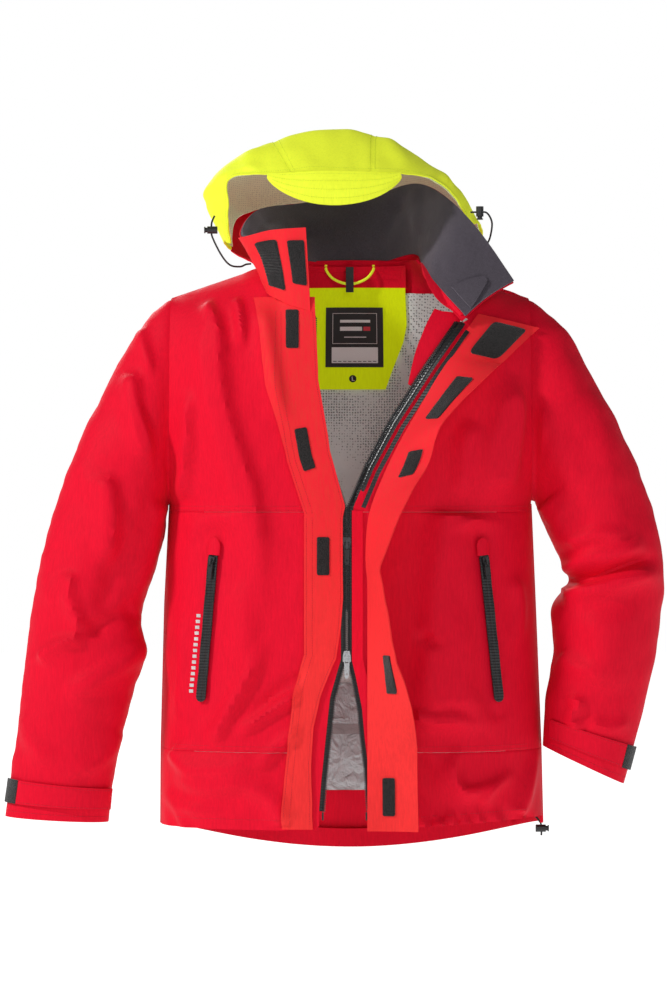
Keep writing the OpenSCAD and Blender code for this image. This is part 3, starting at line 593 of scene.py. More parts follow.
SLEEVE_FOLDS = {
    -1: [
        ([[-290, -86], [-284, -120], [-272, -150]], 13, 5, 1.9, (0.2, 0.3)),
        ([[-296, -150], [-298, -185], [-284, -240], [-276, -280]], 18, 7.5, 2.0, (0.15, 0.3)),
        ([[-334, -290], [-328, -350], [-332, -420]], 20, 7.5, 2.0, (0.15, 0.3)),
        ([[-350, -190], [-366, -260], [-384, -330]], 26, 3.5, 1.2, (0.3, 0.4)),
        ([[-382, -425], [-384, -460], [-366, -512]], 13, 6, 1.8, (0.2, 0.2)),
        ([[-432, -548], [-410, -527], [-366, -510]], 12, 6, 2.4, (0.2, 0.2)),
        ([[-398, -598], [-350, -570], [-300, -540], [-280, -532]], 17, 7, 1.3, (0.3, 0)),
        ([[-366, -512], [-330, -492], [-298, -478]], 14, -5, 1.2, (0.3, 0.1)),
        ([[-262, -330], [-276, -400], [-300, -470]], 12, 5, 1.2, (0.1, 0.3)),
        ([[-300, -360], [-330, -440], [-345, -490]], 16, -4, 1.0, (0.3, 0.3)),
        ([[-452, -620], [-440, -660], [-400, -690]], 14, 3.5, 1.5, (0.2, 0.4)),
        ([[-318, -650], [-350, -690], [-400, -706]], 14, 3.5, 1.2, (0.1, 0.4)),
        ([[-415, -380], [-420, -430], [-408, -480]], 14, 3.0, 1.4, (0.3, 0.3)),
    ],
    1: [
        ([[300, -441], [340, -432], [385, -416], [428, -408]], 9, -10, 1.0, (0, 0.25)),
        ([[296, -455], [340, -448], [390, -432], [430, -430]], 12, 7, 0.7, (0.05, 0.3)),
        ([[296, -424], [330, -404], [372, -396], [410, -380]], 14, 7, 1.5, (0.05, 0.3)),
        ([[300, -386], [340, -372], [386, -376]], 13, 5, 1.6, (0.2, 0.3)),
        ([[268, -330], [290, -360], [300, -400]], 14, 5, 0.7, (0.1, 0.3)),
        ([[262, -180], [290, -270], [340, -330]], 20, 4.5, 0.8, (0.3, 0.4)),
        ([[300, -600], [318, -606], [308, -628], [322, -646]], 9, 6, 1.6, (0.2, 0.2)),
        ([[340, -470], [350, -530], [336, -590]], 24, 5, 0.7, (0.3, 0.3)),
        ([[292, -540], [318, -560], [352, -566]], 13, 4, 1.3, (0.1, 0.4)),
        ([[330, -630], [356, -640], [388, -632]], 11, 4, 1.4, (0.2, 0.3)),
        ([[330, -170], [352, -250], [366, -320]], 22, 3.5, 0.8, (0.3, 0.3)),
    ],
}
HEM_GATHERS = [(-262, -205, 2.6), (80, 262, 5.5)]


def front_folds(x, z):
    p = np.stack([x, z], -1)
    h = 2.3 * sum(fold(p, *f) for f in FRONT_FOLDS)
    h = h + 1.1 * ripples(p, 110, 3) + 0.45 * ripples(p, 38, 4)
    # puckers along the drawn hem
    for low, high, height in HEM_GATHERS:
        inside = np.clip((x - low) / 20, 0, 1) * np.clip((high - x) / 20, 0, 1)
        rise = np.exp(-((z + 776) / 22) ** 2)
        h = h + height * inside * rise * np.sin((x + 7 * np.sin(x / 23) + 0.5 * (z + 776)) * TAU / 23)
    # lines of small puckers at the seams
    for seam in (CHEST_SEAM, BAND_SEAM):
        near = np.exp(-((z - seam) / 6) ** 2)
        h = h + near * (0.35 * np.sin(x * TAU / 13 + 2 * np.sin(x / 31)) - 0.9 * np.exp(-((z - seam) / 1.8) ** 2))
    # the front edges and the ends of the pockets are held flat
    s = np.where(x < (zip_x(z, -1) + zip_x(z, 1)) / 2, -1, 1)
    edge = np.where(s < 0, zip_x(z, -1) - x, x - zip_x(z, 1))
    free = np.clip((edge - 10) / 45, 0, 1)
    h = h * free * free * (3 - 2 * free)
    side = np.abs(np.abs(x) - np.abs(side_x(z, s)))
    into = np.clip(side / 28, 0, 1)
    h = h * mix(0.12, 1, into * into * (3 - 2 * into))
    for top, low in (((-186, -398), (-204, -604)), ((181, -398), (203, -604))):
        line = x - mix(top[0], low[0], np.clip((z - top[1]) / (low[1] - top[1]), 0, 1))
        out = np.maximum(0, np.maximum(z - top[1] - 18, low[1] - 8 - z))
        near = np.sqrt(line ** 2 + out ** 2)
        h = h * np.clip((near - 8) / 26, 0, 1)
        h = h - 1.4 * np.exp(-((near - 11) / 4.5) ** 2)
    return np.clip(h, -6, 15)


def back_folds(x, z):
    p = np.stack([x, z], -1)
    h = 1.4 * sum(fold(p, *f) for f in BACK_FOLDS)
    h = h + 1.3 * ripples(p, 130, 13) + 0.5 * ripples(p, 42, 14)
    for seam in (-200, BAND_SEAM):
        near = np.exp(-((z - seam) / 6) ** 2)
        h = h + near * (0.35 * np.sin(x * TAU / 13 + 2 * np.sin(x / 31)) - 0.9 * np.exp(-((z - seam) / 1.8) ** 2))
    side = np.abs(np.abs(x) - np.abs(side_x(z, np.where(x < 0, -1, 1))))
    into = np.clip(side / 28, 0, 1)
    h = h * mix(0.12, 1, into * into * (3 - 2 * into))
    return np.clip(h, -2.0, 8.0)


def sleeve_folds(s, t, angle):
    p = sleeve(s, t, angle)
    flat = np.stack([p[..., 0], p[..., 2]], -1)
    facing = np.sin(np.radians(angle))
    ahead = 2.0 * sum(fold(flat, *f) for f in SLEEVE_FOLDS[s])
    behind = 0.55 * ahead + 2.0 * ripples(flat, 60, 21 + s)
    h = np.where(facing > 0, ahead, behind) * np.abs(facing) ** 0.5
    h = h + 1.0 * ripples(p, 70, 31 + s) + 0.4 * ripples(p, 26, 41 + s)
    ends = np.clip(t / 0.06, 0, 1) * np.clip((1 - t) / 0.1, 0.25, 1)
    dip = -1.2 * np.exp(-((np.abs(facing) - 0) / 0.03) ** 2)
    return np.clip(h * ends, -12, 12) + dip * ends


class Surface:
    """A sheet's shape: a function of two parameters, its folds, and which way is out."""

    def __init__(self, point, folds=None, flip=1, steps=(1.5, 1.5)):
        self.point = point
        self.folds = folds
        self.flip = flip
        self.steps = steps

    def at(self, u, v, lift=0.0, folded=1.0):
        u, v = np.broadcast_arrays(np.asarray(u, float), np.asarray(v, float))
        p = self.point(u, v)
        du, dv = self.steps
        n = self.flip * unit(np.cross(self.point(u + du, v) - self.point(u - du, v),
                                      self.point(u, v + dv) - self.point(u, v - dv)))
        h = np.zeros(u.shape) + lift
        if self.folds is not None:
            h = h + folded * self.folds(u, v)
        return p + n * h[..., None], n


def clipped_front(x, z):
    limit = side_x(z, np.where(x < 0, -1, 1))
    return front(np.clip(x, -np.abs(limit), np.abs(limit)), z)


def clipped_back(x, z):
    limit = side_x(z, np.where(x < 0, -1, 1))
    return back(np.clip(x, -np.abs(limit), np.abs(limit)), z)


FRONT = Surface(clipped_front, front_folds)
BACK = Surface(clipped_back, back_folds, -1)
SLEEVES = {s: Surface(lambda t, a, s=s: sleeve(s, t, a), lambda t, a, s=s: sleeve_folds(s, t, a), -s, (0.003, 1.0))
           for s in (-1, 1)}

# ---------------------------------------------------------------- making meshes


def make_object(name, verts, faces, material, sharp=40):
    mesh = bpy.data.meshes.new(name)
    verts = np.asarray(verts, float) * MM
    mesh.from_pydata(verts.tolist(), [], faces)
    mesh.validate()
    mesh.shade_smooth()
    mesh.set_sharp_from_angle(angle=math.radians(sharp))
    obj = bpy.data.objects.new(name, mesh)
    bpy.context.scene.collection.objects.link(obj)
    mesh.materials.append(material)
    return obj


def finish_piece(obj, body, nodes):
    if nodes:
        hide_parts(*nodes)
    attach(obj, body)
    return obj


def thick_sheet(name, over, normals, thickness, material):
    """A closed sheet whose outer face is the grid over, this thick behind it, with a flat rim joining the two faces.
    """
    m, n = over.shape[:2]
    under = over - normals * thickness
    verts = np.concatenate([over.reshape(-1, 3), under.reshape(-1, 3)])
    base = m * n
    i, j = np.meshgrid(np.arange(m - 1), np.arange(n - 1), indexing="ij")
    a = (i * n + j).ravel()
    top = np.stack([a, a + 1, a + n + 1, a + n], -1)
    # face the grid the way its normals point
    way = np.cross(over[:-1, 1:] - over[:-1, :-1], over[1:, :-1] - over[:-1, :-1])
    if (way * normals[:-1, :-1]).sum() < 0:
        top = top[:, ::-1]
    bottom = top[:, ::-1] + base
    loop = [(0, k) for k in range(n)] + [(k, n - 1) for k in range(1, m)]
    loop += [(m - 1, k) for k in range(n - 2, -1, -1)] + [(k, 0) for k in range(m - 2, 0, -1)]
    ring = np.array([r * n + c for r, c in loop])
    nxt = np.roll(ring, -1)
    rim = np.stack([ring, ring + base, nxt + base, nxt], -1)
    if (way * normals[:-1, :-1]).sum() < 0:
        rim = rim[:, ::-1]
    faces = np.concatenate([top, bottom, rim]).tolist()
    return make_object(name, verts, faces, material)


NARROWEST_SHEET = 0.0101


def cut_size(over):
    """Measures the longest row and column of a sheet's grid; the sizes are not used."""
    rows = np.linalg.norm(np.diff(over, axis=1), axis=-1).sum(1)
    columns = np.linalg.norm(np.diff(over, axis=0), axis=-1).sum(0)
    flat = (float(rows.max()) * MM, float(columns.max()) * MM)
    if min(flat) < NARROWEST_SHEET:
        return


def cloth(name, surface, u, v, body, nodes, material, lift=0.0, thick=1.2, folded=1.0):
    over, normals = surface.at(u, v, lift, folded)
    obj = finish_piece(thick_sheet(name, over, normals, thick, material), body, nodes)
    cut_size(over)
    return obj


def grid(rows, columns):
    """Two arrays of this many rows and columns, from 0 to 1, closer together at the borders."""
    def steps(n):
        t = np.linspace(0, 1, n)
        return np.concatenate([[0, 0.25 / n, 0.6 / n], t[1:-1], [1 - 0.6 / n, 1 - 0.25 / n, 1]])
    return np.meshgrid(steps(rows), steps(columns), indexing="ij")


def stitch_mesh(name, path, normals, material, pitch=3.4, length=2.3, radius=0.32):
    """A row of stitches, each a small pointed prism, along a path."""
    path = np.asarray(path, float)
    gaps = np.linalg.norm(np.diff(path, axis=0), axis=1)
    far = np.concatenate([[0], np.cumsum(gaps)])
    count = max(2, int(far[-1] / pitch))
    mids = (np.arange(count) + 0.5) * far[-1] / count
    places = np.stack([np.interp(mids, far, path[:, k]) for k in range(3)], -1)
    ahead = np.stack([np.interp(mids + 0.5, far, path[:, k]) for k in range(3)], -1)
    behind = np.stack([np.interp(mids - 0.5, far, path[:, k]) for k in range(3)], -1)
    up = unit(np.stack([np.interp(mids, far, normals[:, k]) for k in range(3)], -1))
    along = unit(ahead - behind)
    across = unit(np.cross(up, along))
    up = np.cross(along, across)
    verts, faces = [], []
    shape = [(-0.5, 0, 0)] + [(q, c, d) for q in (-0.28, 0.28) for c, d in ((1, 0), (0, 1), (-1, 0), (0, -1))]
    shape += [(0.5, 0, 0)]
    pattern = [(0, 2, 1), (0, 3, 2), (0, 4, 3), (0, 1, 4), (9, 5, 6), (9, 6, 7), (9, 7, 8), (9, 8, 5)]
    pattern += [(1, 2, 6, 5), (2, 3, 7, 6), (3, 4, 8, 7), (4, 1, 5, 8)]
    for q, c, d in shape:
        verts.append(places + along * q * length + across * c * radius + up * d * radius)
    verts = np.stack(verts, 1).reshape(-1, 3)
    for k in range(count):
        faces += [tuple(i + k * len(shape) for i in f) for f in pattern]
    return make_object(name, verts, faces, material, 70)


def join(name, parts):
    bpy.ops.object.select_all(action="DESELECT")
    for p in parts:
        p.select_set(True)
    bpy.context.view_layer.objects.active = parts[0]
    if len(parts) > 1:
        bpy.ops.object.join()
    parts[0].name = name
    return parts[0]


def stitches(name, surface, paths, body, slot, material, lift=0.15, **sizes):
    """Rows of stitches on a surface, each path a list of its parameters."""
    parts = []
    for k, path in enumerate(paths):
        path = np.asarray(path, float)
        line = spline(path, np.linspace(0, 1, 40 * (len(path) - 1) + 1))
        p, n = surface.at(line[:, 0], line[:, 1], lift)
        parts.append(stitch_mesh(f"{name}_{k}", p, n, material, **sizes))
    return finish_piece(join(name, parts), body, [])


# ---------------------------------------------------------------- body panels
CHEST_NECK = {-1: [[-56, -64], [-88, -50], [-112, -28], [-104, 5]],
              1: [[163, -78], [126, -56], [108, -30], [98, 5]]}


def chest_edge(v, s):
    neck = CHEST_NECK[s]
    low = CHEST_SEAM + 0.2
    z = mix(low, neck[0][1], np.minimum(v / 0.72, 1))
    line = np.stack([panel_edge_x(z, s), z], -1)
    curve = spline(neck, np.clip((v - 0.72) / 0.28, 0, 1))
    return np.where((v < 0.72)[..., None], line, curve)


def chest_grid(s, rows, columns):
    v, u = grid(rows, columns)
    low = CHEST_SEAM + 0.2

    def bottom(a):
        return np.stack([mix(panel_edge_x(low, s), side_x(low, s), a), low + 0 * a], -1)

    def top(a):
        x = mix(CHEST_NECK[s][3][0], s * 250, a)
        return np.stack([x, shoulder_z(x)], -1)

    def side(b):
        z = mix(low, -45, b)
        return np.stack([side_x(z, s), z], -1)

    corner = [bottom(np.array(0.0)), bottom(np.array(1.0)), top(np.array(0.0)), top(np.array(1.0))]
    u1, v1 = u[..., None], v[..., None]
    p = ((1 - v1) * bottom(u) + v1 * top(u) + (1 - u1) * chest_edge(v, s) + u1 * side(v)
         - (1 - u1) * (1 - v1) * corner[0] - u1 * (1 - v1) * corner[1]
         - (1 - u1) * v1 * corner[2] - u1 * v1 * corner[3])
    return p[..., 0], p[..., 1]


def hem_z(x, s):
    return HEM + (0 if s < 0 else 12 * np.clip(x / 250, 0, 1))


def front_strip(s, low, high, rows, columns):
    v, u = grid(rows, columns)
    edge = panel_edge_x(mix(low(0 * u), high, v), s)
    z = mix(low(edge), high, v)
    x = mix(edge, side_x(z, s), np.sin(np.radians(90 * u)))
    z = mix(low(x), high, v)
    return x, z


SIDES = {-1: "right", 1: "left"}
for s, name in SIDES.items():
    x, z = chest_grid(s, 62, 46)
    cloth(f"{name}_chest", FRONT, x, z, "jacket", [f"{name}_chest_panel"], shell_red)
    x, z = front_strip(s, lambda x: BAND_SEAM + 0.2 + 0 * x, CHEST_SEAM - 0.2, 66, 48)
    cloth(f"{name}_front", FRONT, x, z, "jacket", [f"{name}_front_panel"], shell_red)
    x, z = front_strip(s, lambda x, s=s: hem_z(x, s), BAND_SEAM - 0.2, 26, 64)
    cloth(f"{name}_band", FRONT, x, z, "jacket", [f"{name}_hem_band"], shell_red, thick=1.8)


def tail_z(x):
    return TAIL + 47 * (x / 268) ** 2


def back_strip(low, high, rows, columns):
    v, u = grid(rows, columns)
    t = np.sin(np.radians(90 * (2 * u - 1)))
    x = t * np.abs(side_x(mix(-500, -500, v), np.where(t < 0, -1, 1)))
    z = mix(low(x), high(x), v)
    limit = np.abs(side_x(z, np.where(t < 0, -1, 1)))
    x = t * limit
    return x, mix(low(x), high(x), v)


def level(z):
    return lambda x: z + 0 * x


def yoke_top(x):
    a = np.abs(x)
    return np.where(a < 95, 10.5 + 5 * np.cos(x / 95 * math.pi / 2), shoulder_z(x) + 2.5 * np.clip(1 - (a - 95) / 30, 0, 1))


x, z = back_strip(level(-200), yoke_top, 30, 80)
cloth("back_yoke_cloth", BACK, x, z, "jacket", ["back_yoke"], shell_red)
x, z = back_strip(level(BAND_SEAM + 0.2), level(-200.4), 66, 80)
cloth("back_cloth", BACK, x, z, "jacket", ["back_panel"], shell_red)
x, z = back_strip(tail_z, level(BAND_SEAM - 0.2), 22, 80)
cloth("back_band", BACK, x, z, "jacket", ["back_hem_band"], shell_red, thick=1.8)

# ---------------------------------------------------------------- sleeves
for s, name in SIDES.items():
    for half, a0, a1 in (("front", 0.4, 179.6), ("back", 359.6, 180.4)):
        v, u = grid(130, 34)
        t = 1 - v
        over, normals = SLEEVES[s].at(t, mix(a0, a1, u))
        tuck = np.exp(-t / 0.006)
        over = over - normals * (2.2 * tuck)[..., None]
        over[..., 0] -= s * 8 * tuck
        obj = finish_piece(thick_sheet(f"{name}_sleeve_{half}_cloth", over, normals, 1.5, shell_red), "jacket",
                           [f"{name}_sleeve_{half}"])
        cut_size(over)

TAB_TOP, TAB_LOW, TAB_FREE, PAD_END = 0.925, 0.965, 38, 8
TAB_SEWN = {-1: 166, 1: 148}


def tab_grid(s, a0, a1, rows, columns, flare=0.0):
    v, u = grid(rows, columns)
    t = mix(TAB_LOW, TAB_TOP, v) + flare * (v - 0.5) * 0.01
    return t, mix(a0, a1, u)


for s, name in SIDES.items():
    t, a = tab_grid(s, TAB_FREE + 1, TAB_SEWN[s], 9, 30)
    cloth(f"{name}_tab", SLEEVES[s], t, a, f"{name}_cuff_tab", [f"{name}_cuff_tab"], shell_red,
          lift=3.9, thick=1.7, folded=0.3)
    t, a = tab_grid(s, PAD_END, TAB_FREE + 0.5, 9, 14)
    cloth(f"{name}_tab_pad", SLEEVES[s], t, a, f"{name}_cuff_tab", [f"{name}_cuff_pad"], pile,
          lift=4.4, thick=2.2, folded=0.3)

# ---------------------------------------------------------------- front closure


def zip_grid(s, z0, z1, d0, d1, rows, columns):
    v, u = grid(rows, columns)
    zz = mix(z0, z1, v)
    lo = d0(zz) if callable(d0) else d0
    hi = d1(zz) if callable(d1) else d1
    return beside(zz, s, mix(lo, hi, u))


def placket_fold(z):
    """How far the placket's outer fold stands back from the zip."""
    return table(z, [[-780, 58], [-250, 58], [-190, 64], [-140, 72], [-95, 76], [-50, 86]])


def placket_edge(z):
    """How far the placket's free edge stands back from the zip."""
    return table(z, [[-780, -16], [-740, -18], [-690, -24], [-640, -26], [-590, -20], [-540, -14], [-500, -8],
                     [-460, -5], [-425, -5.5], [-350, -5.5], [-335, -2], [-240, 3], [-150, 3], [-60, -2]])


x, z = zip_grid(-1, HEM + 2, -50, lambda z: -placket_fold(z), placket_edge, 150, 18)
cloth("placket", FRONT, x, z, "jacket", ["right_placket_flap"], flap_red_painted_lit, lift=5.2, thick=2.0)
x, z = zip_grid(-1, HEM + 6, -500, -26, -8, 50, 5)
cloth("placket_under", FRONT, x, z, "jacket", [], shell_red, lift=1.6, thick=1.4)
x, z = zip_grid(-1, -750, -150, -34, -12, 80, 5)
cloth("zip_guard", FRONT, x, z, "jacket", ["inner_zip_guard"], shell_red, lift=-8.2, thick=1.4)

for s, low, high, tape in ((-1, -752, -74, 15.0), (1, -752, -78, 14.0)):
    v, u = grid(150, 8)
    zz = mix(low, high, v)
    d = mix(np.where((zz > -478) & (zz < -335), 0.2, 1.4), tape, u)
    x, z = beside(zz, s, s * d)
    rise = np.where(s < 0, -4.4, mix(-4.4, 1.5, np.clip((d - 4) / 5, 0, 1)))
    rise = np.where(zz > -300, rise, np.minimum(rise, mix(-4.4, rise, np.clip((zz + 340) / 40, 0, 1))))
    over, normals = FRONT.at(x, z, rise, 0)
    finish_piece(thick_sheet(f"{SIDES[s]}_zip_tape", over, normals, 0.9, laminate), "jacket",
                 ["main_zip_tapes"] if s < 0 else [])

# the red band and the dark piping between the zip and the upper storm flap
x, z = zip_grid(1, -330, -84, 18.5, 24.5, 60, 4)
cloth("left_piping", FRONT, x, z, "jacket", [], laminate, lift=5.6, thick=1.6)

LAPEL_SEWN = [[176, -70], [130, -136], [78, -226], [46, -290], [24, -352], [20, -425]]
LAPEL_FREE = [[262, -88], [196, -150], [124, -222], [106, -276], [66, -345], [38, -425]]
FLAP_ANGLES = [[-778, 8], [-664, 15], [-609, 32], [-546, 57], [-434, 75]]
FLAP_W = 70


def lapel_point(t, r):
    a, b = spline(LAPEL_SEWN, t), spline(LAPEL_FREE, t)
    p = mix(a, b, r[..., None])
    across = np.linalg.norm(b - a, axis=-1)
    stand = np.sqrt(np.maximum(0, FLAP_W ** 2 - across ** 2))
    f = front(p[..., 0], p[..., 1])
    forward = 4.4 + 5 * np.sin(np.pi * np.clip(r, 0, 1)) + stand * np.maximum(r, 0) ** 1.3
    return f - np.stack([0 * r, forward, 0 * r], -1)


def lower_flap_point(z, r):
    a = np.radians(table(z, FLAP_ANGLES))
    w = r * FLAP_W
    bow = 3.0 * np.sin(np.pi * np.clip(r, 0, 1)) * np.sin(z / 37)
    return np.stack([23 + w * np.cos(a) - bow * np.sin(a), -227.5 - w * np.sin(a) - bow * np.cos(a), z + 0 * r], -1)


def flap_surface(q, r):
    """The whole storm flap: q is 0 at its top and 1 at the hem, r is 0 at its seam and 1 at its free edge."""
    q, r = np.broadcast_arrays(q, r)
    upper = lapel_point(np.clip(q / 0.5, -0.02, 1), r)
    z = mix(-425, HEM, (q - 0.5) / 0.5)
    lower = lower_flap_point(z, r)
    w = np.clip((q - 0.46) / 0.08, 0, 1)[..., None]
    w = w * w * (3 - 2 * w)
    return mix(upper, lower, w)


def flap_folds(q, r):
    p = np.stack([q * 720, r * 70], -1)
    loose = np.clip(q / 0.1, 0, 1) * np.clip(r, 0, 1)
    return loose * (2.2 * ripples(p, 120, 51) + 0.6 * ripples(p, 40, 52))


FLAP = Surface(flap_surface, flap_folds, 1, (0.002, 0.02))
v, u = grid(150, 18)
flap_over, flap_normals = FLAP.at(1 - v, u)
flap_obj = thick_sheet("storm_flap", flap_over, flap_normals, 1.6, flap_red_painted_lit)
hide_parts("storm_flap_upper", "storm_flap_lower")
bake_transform(flap_obj)
cut_size(flap_over)

x, z = zip_grid(1, HEM + 14, -340, 7, 22, 100, 4)
cloth("flap_base", FRONT, x, z, "jacket", [], shell_red, lift=2.8, thick=1.6)

# ---------------------------------------------------------------- touch fastener patches


def rounded(rows, columns, corner=0.22, aspect=3.0):
    """A grid of 0 to 1 pulled in at its four corners."""
    v, u = grid(rows, columns)
    a, b = 2 * u - 1, 2 * v - 1
    ka = np.maximum(0, np.abs(a) - (1 - corner)) / corner
    kb = np.maximum(0, np.abs(b) - (1 - corner / aspect)) / (corner / aspect)
    r = np.sqrt(ka ** 2 + kb ** 2)
    pull = np.where(r > 1, 1 / np.maximum(r, 1), 1)
    a = np.sign(a) * np.where(ka > 0, (1 - corner) + corner * ka * pull, np.abs(a))
    b = np.sign(b) * np.where(kb > 0, (1 - corner / aspect) + corner / aspect * kb * pull, np.abs(b))
    return (b + 1) / 2, (a + 1) / 2


def patch(name, surface, place, body, lift, folded=1.0, thick=1.8, rows=16, columns=8, ribs=0, corner=0.3, aspect=3.0):
    v, u = rounded(rows, columns, corner, aspect)
    a, b = place(u, v)
    over, normals = surface.at(a, b, lift, folded)
    rng = np.random.default_rng(int(1000 * lift) + rows)
    fuzz = rng.normal(0, 0.12, over.shape[:2])
    if ribs:
        fuzz = fuzz + 0.55 * np.sin(v * TAU * ribs)
    edge = np.minimum(np.minimum(u, 1 - u) * columns, np.minimum(v, 1 - v) * rows)
    over = over + normals * (fuzz - 0.8 * np.exp(-edge / 0.6))[..., None]
    return thick_sheet(name, over, normals, thick, pile)


right_patches = []
for k, z0 in enumerate((-94, -249, -403)):
    def place(u, v, z0=z0):
        return beside(mix(z0 - 26, z0 + 26, v), -1, mix(-40.5, -23.5, u))
    right_patches.append(patch(f"placket_patch_{k}", FRONT, place, "jacket", 7.2))

lapel_patches = []
for k, (t0, t1, r0, r1) in enumerate(((0.03, 0.16, 0.3, 0.86), (0.24, 0.38, 0.42, 0.78), (0.52, 0.64, 0.42, 0.76))):
    def place(u, v, box=(t0, t1, r0, r1)):
        return mix(box[1], box[0], v) / 2, mix(box[2], box[3], u)
    big = k == 0
    lapel_patches.append(patch(f"lapel_patch_{k}", FLAP, place, "jacket", 2.4, rows=20 if big else 16,
                               columns=18 if big else 8, corner=0.3, aspect=1.0 if big else 2.5))

flap_patches = []
for k, (z0, r0) in enumerate(((-563, 0.62), (-731, 0.42))):
    def place(u, v, z0=z0, r0=r0):
        z = mix(z0 - 26, z0 + 26, v)
        return 0.5 + 0.5 * (z + 425) / (HEM + 425), r0 + (u - 0.5) * 17 / FLAP_W
    flap_patches.append(patch(f"flap_patch_{k}", FLAP, place, "storm_flap", 2.4))
flap_patch_obj = join("flap_patches_pile", flap_patches)
finish_piece(flap_patch_obj, "storm_flap", ["flap_patches"])

# ---------------------------------------------------------------- zip teeth


def tooth_row(s, low, high):
    """Moulded teeth along one tape: a foot on the tape and a rounded nose over the centre line."""
    pitch = 2.9
    zz = np.arange(low, high, 0.5)
    x, z = beside(zz, s, s * 1.4)
    p, n = FRONT.at(x, z, -2.9, 0)
    far = np.concatenate([[0], np.cumsum(np.linalg.norm(np.diff(p, axis=0), axis=1))])
    count = int(far[-1] / pitch)
    mids = (np.arange(count) + (0.25 if s < 0 else 0.75)) * pitch
    at = np.stack([np.interp(mids, far, p[:, k]) for k in range(3)], -1)
    out = unit(np.stack([np.interp(mids, far, n[:, k]) for k in range(3)], -1))
    up = unit(np.stack([np.interp(mids + 1, far, p[:, k]) - np.interp(mids - 1, far, p[:, k]) for k in range(3)], -1))
    over = unit(np.cross(up, out)) * s
    outline = [(-2.6, 0.95), (-1.0, 0.95), (0.5, 0.65), (1.7, 0.85), (1.7, -0.85), (0.5, -0.65), (-1.0, -0.95),
               (-2.6, -0.95)]
    if s * np.sign((over[:, 0]).mean()) > 0:
        over = -over
    levels = [(-1.5, 0.82), (-1.1, 1.0), (0.9, 1.0), (1.4, 0.8)]
    verts = []
    for h, k in levels:
        for a, b in outline:
            verts.append(at + over * a * k + up * b * k + out * h)
    verts = np.stack(verts, 1)
    size = len(outline)
    pattern = [tuple(range(size))[::-1], tuple(range(3 * size, 4 * size))]
    for r in range(3):
        for c in range(size):
            d = (c + 1) % size
            pattern.append((r * size + c, r * size + d, (r + 1) * size + d, (r + 1) * size + c))
    faces = []
    step = verts.shape[1]
    for k in range(count):
        faces += [tuple(i + k * step for i in f) for f in pattern]
    obj = make_object(f"teeth_{s}", verts.reshape(-1, 3), faces, tooth_black, 30)
    return obj


teeth = join("zip_teeth", [tooth_row(-1, -752, -74), tooth_row(1, -752, -78)])
finish_piece(teeth, "jacket", ["main_zip_teeth"])

# ---------------------------------------------------------------- pocket zips
POCKETS = {-1: ((-186, -398), -18), 1: ((181, -398), 22)}
POCKET_L = 206


def pocket_frame(s):
    top, lean = POCKETS[s]
    low = (top[0] + lean, top[1] - POCKET_L)
    p_low, p_top = front(np.array(low[0]), np.array(low[1])), front(np.array(top[0]), np.array(top[1]))
    up = unit(p_top - p_low)
    m = ((top[0] + low[0]) / 2, (top[1] + low[1]) / 2)
    dx = front(np.array(m[0] + 5.0), np.array(m[1])) - front(np.array(m[0] - 5.0), np.array(m[1]))
    dz = front(np.array(m[0]), np.array(m[1] + 5.0)) - front(np.array(m[0]), np.array(m[1] - 5.0))
    across = unit(np.cross(up, unit(np.cross(dx, dz))))
    out = np.cross(across, up)
    return p_low + 4 * out, across, out, up


def capsule_grid(width, length, rows, columns):
    """Across and along positions that fill a strip with round ends."""
    v, u = grid(rows, columns)
    along = v * length
    r = width / 2
    end = np.minimum(along, length - along)
    half = np.where(end < r, np.sqrt(np.maximum(0.02, r * r - (r - np.minimum(end, r)) ** 2)), r)
    return (2 * u - 1) * half, along


pocket_parts, garage_parts = [], []
for s, name in SIDES.items():
    origin, across, out, up = pocket_frame(s)
    a, l = capsule_grid(15, POCKET_L, 90, 14)
    crown = 0.5 * np.cos(a / 7.5 * math.pi / 2) - 1.1 * np.exp(-(a / 0.9) ** 2)
    wave = 0.35 * np.sin(l / 9.0) * (np.abs(a) > 3)
    over = origin + a[..., None] * across + l[..., None] * up + (crown + wave + 0.5)[..., None] * out
    obj = thick_sheet(f"{name}_pocket_tape", over, np.broadcast_to(out, over.shape), 1.5, laminate)
    pocket_parts.append(obj)
    for k in (-1, 1):
        line = np.linspace(8, POCKET_L - 8, 60)
        path = origin + k * 6.1 * across + line[:, None] * up + 1.0 * out
        pocket_parts.append(stitch_mesh(f"{name}_pocket_stitch_{k}", path, np.broadcast_to(out, path.shape), dark_thread))
    # the fabric hood over the slider's top end
    v, u = grid(16, 14)
    w = np.where(v > 0.5, np.sqrt(np.maximum(0.03, 1 - ((v - 0.5) * 2) ** 2)), 1) * 9.5
    a = (2 * u - 1) * w
    l = POCKET_L - 3 + v * 24
    swell = 3.2 * np.cos(np.clip(a / 9.5, -1, 1) * math.pi / 2) ** 0.6 * (1 - 0.4 * v)
    over = origin + a[..., None] * across + l[..., None] * up + (swell - 0.3)[..., None] * out
    garage_parts.append(thick_sheet(f"{name}_garage", over, np.broadcast_to(out, over.shape), 1.2, shell_red))
finish_piece(join("pocket_zip_tapes", pocket_parts), "jacket", ["pocket_zips"])
finish_piece(join("pocket_garage_hoods", garage_parts), "jacket", ["pocket_garages"])

# ---------------------------------------------------------------- collar
COLLAR_SEWN = [[-54, -212, -54], [-88, -202, -44], [-116, -172, -24], [-108, -92, 14], [-50, -6, 12],
               [40, 2, 12], [96, -50, 20], [112, -150, -18], [158, -200, -76]]
COLLAR_TOP = [[-60, -216, 44], [-106, -206, 42], [-150, -168, 38], [-134, -74, 78], [-66, 10, 98],
              [40, 18, 110], [104, -40, 120], [164, -126, 66], [226, -158, -26]]


def collar_point(t, r):
    p = mix(spline(COLLAR_SEWN, t), spline(COLLAR_TOP, t), r[..., None])
    return p + np.stack([0 * r, 0 * r, 4 * np.sin(np.pi * r)], -1)


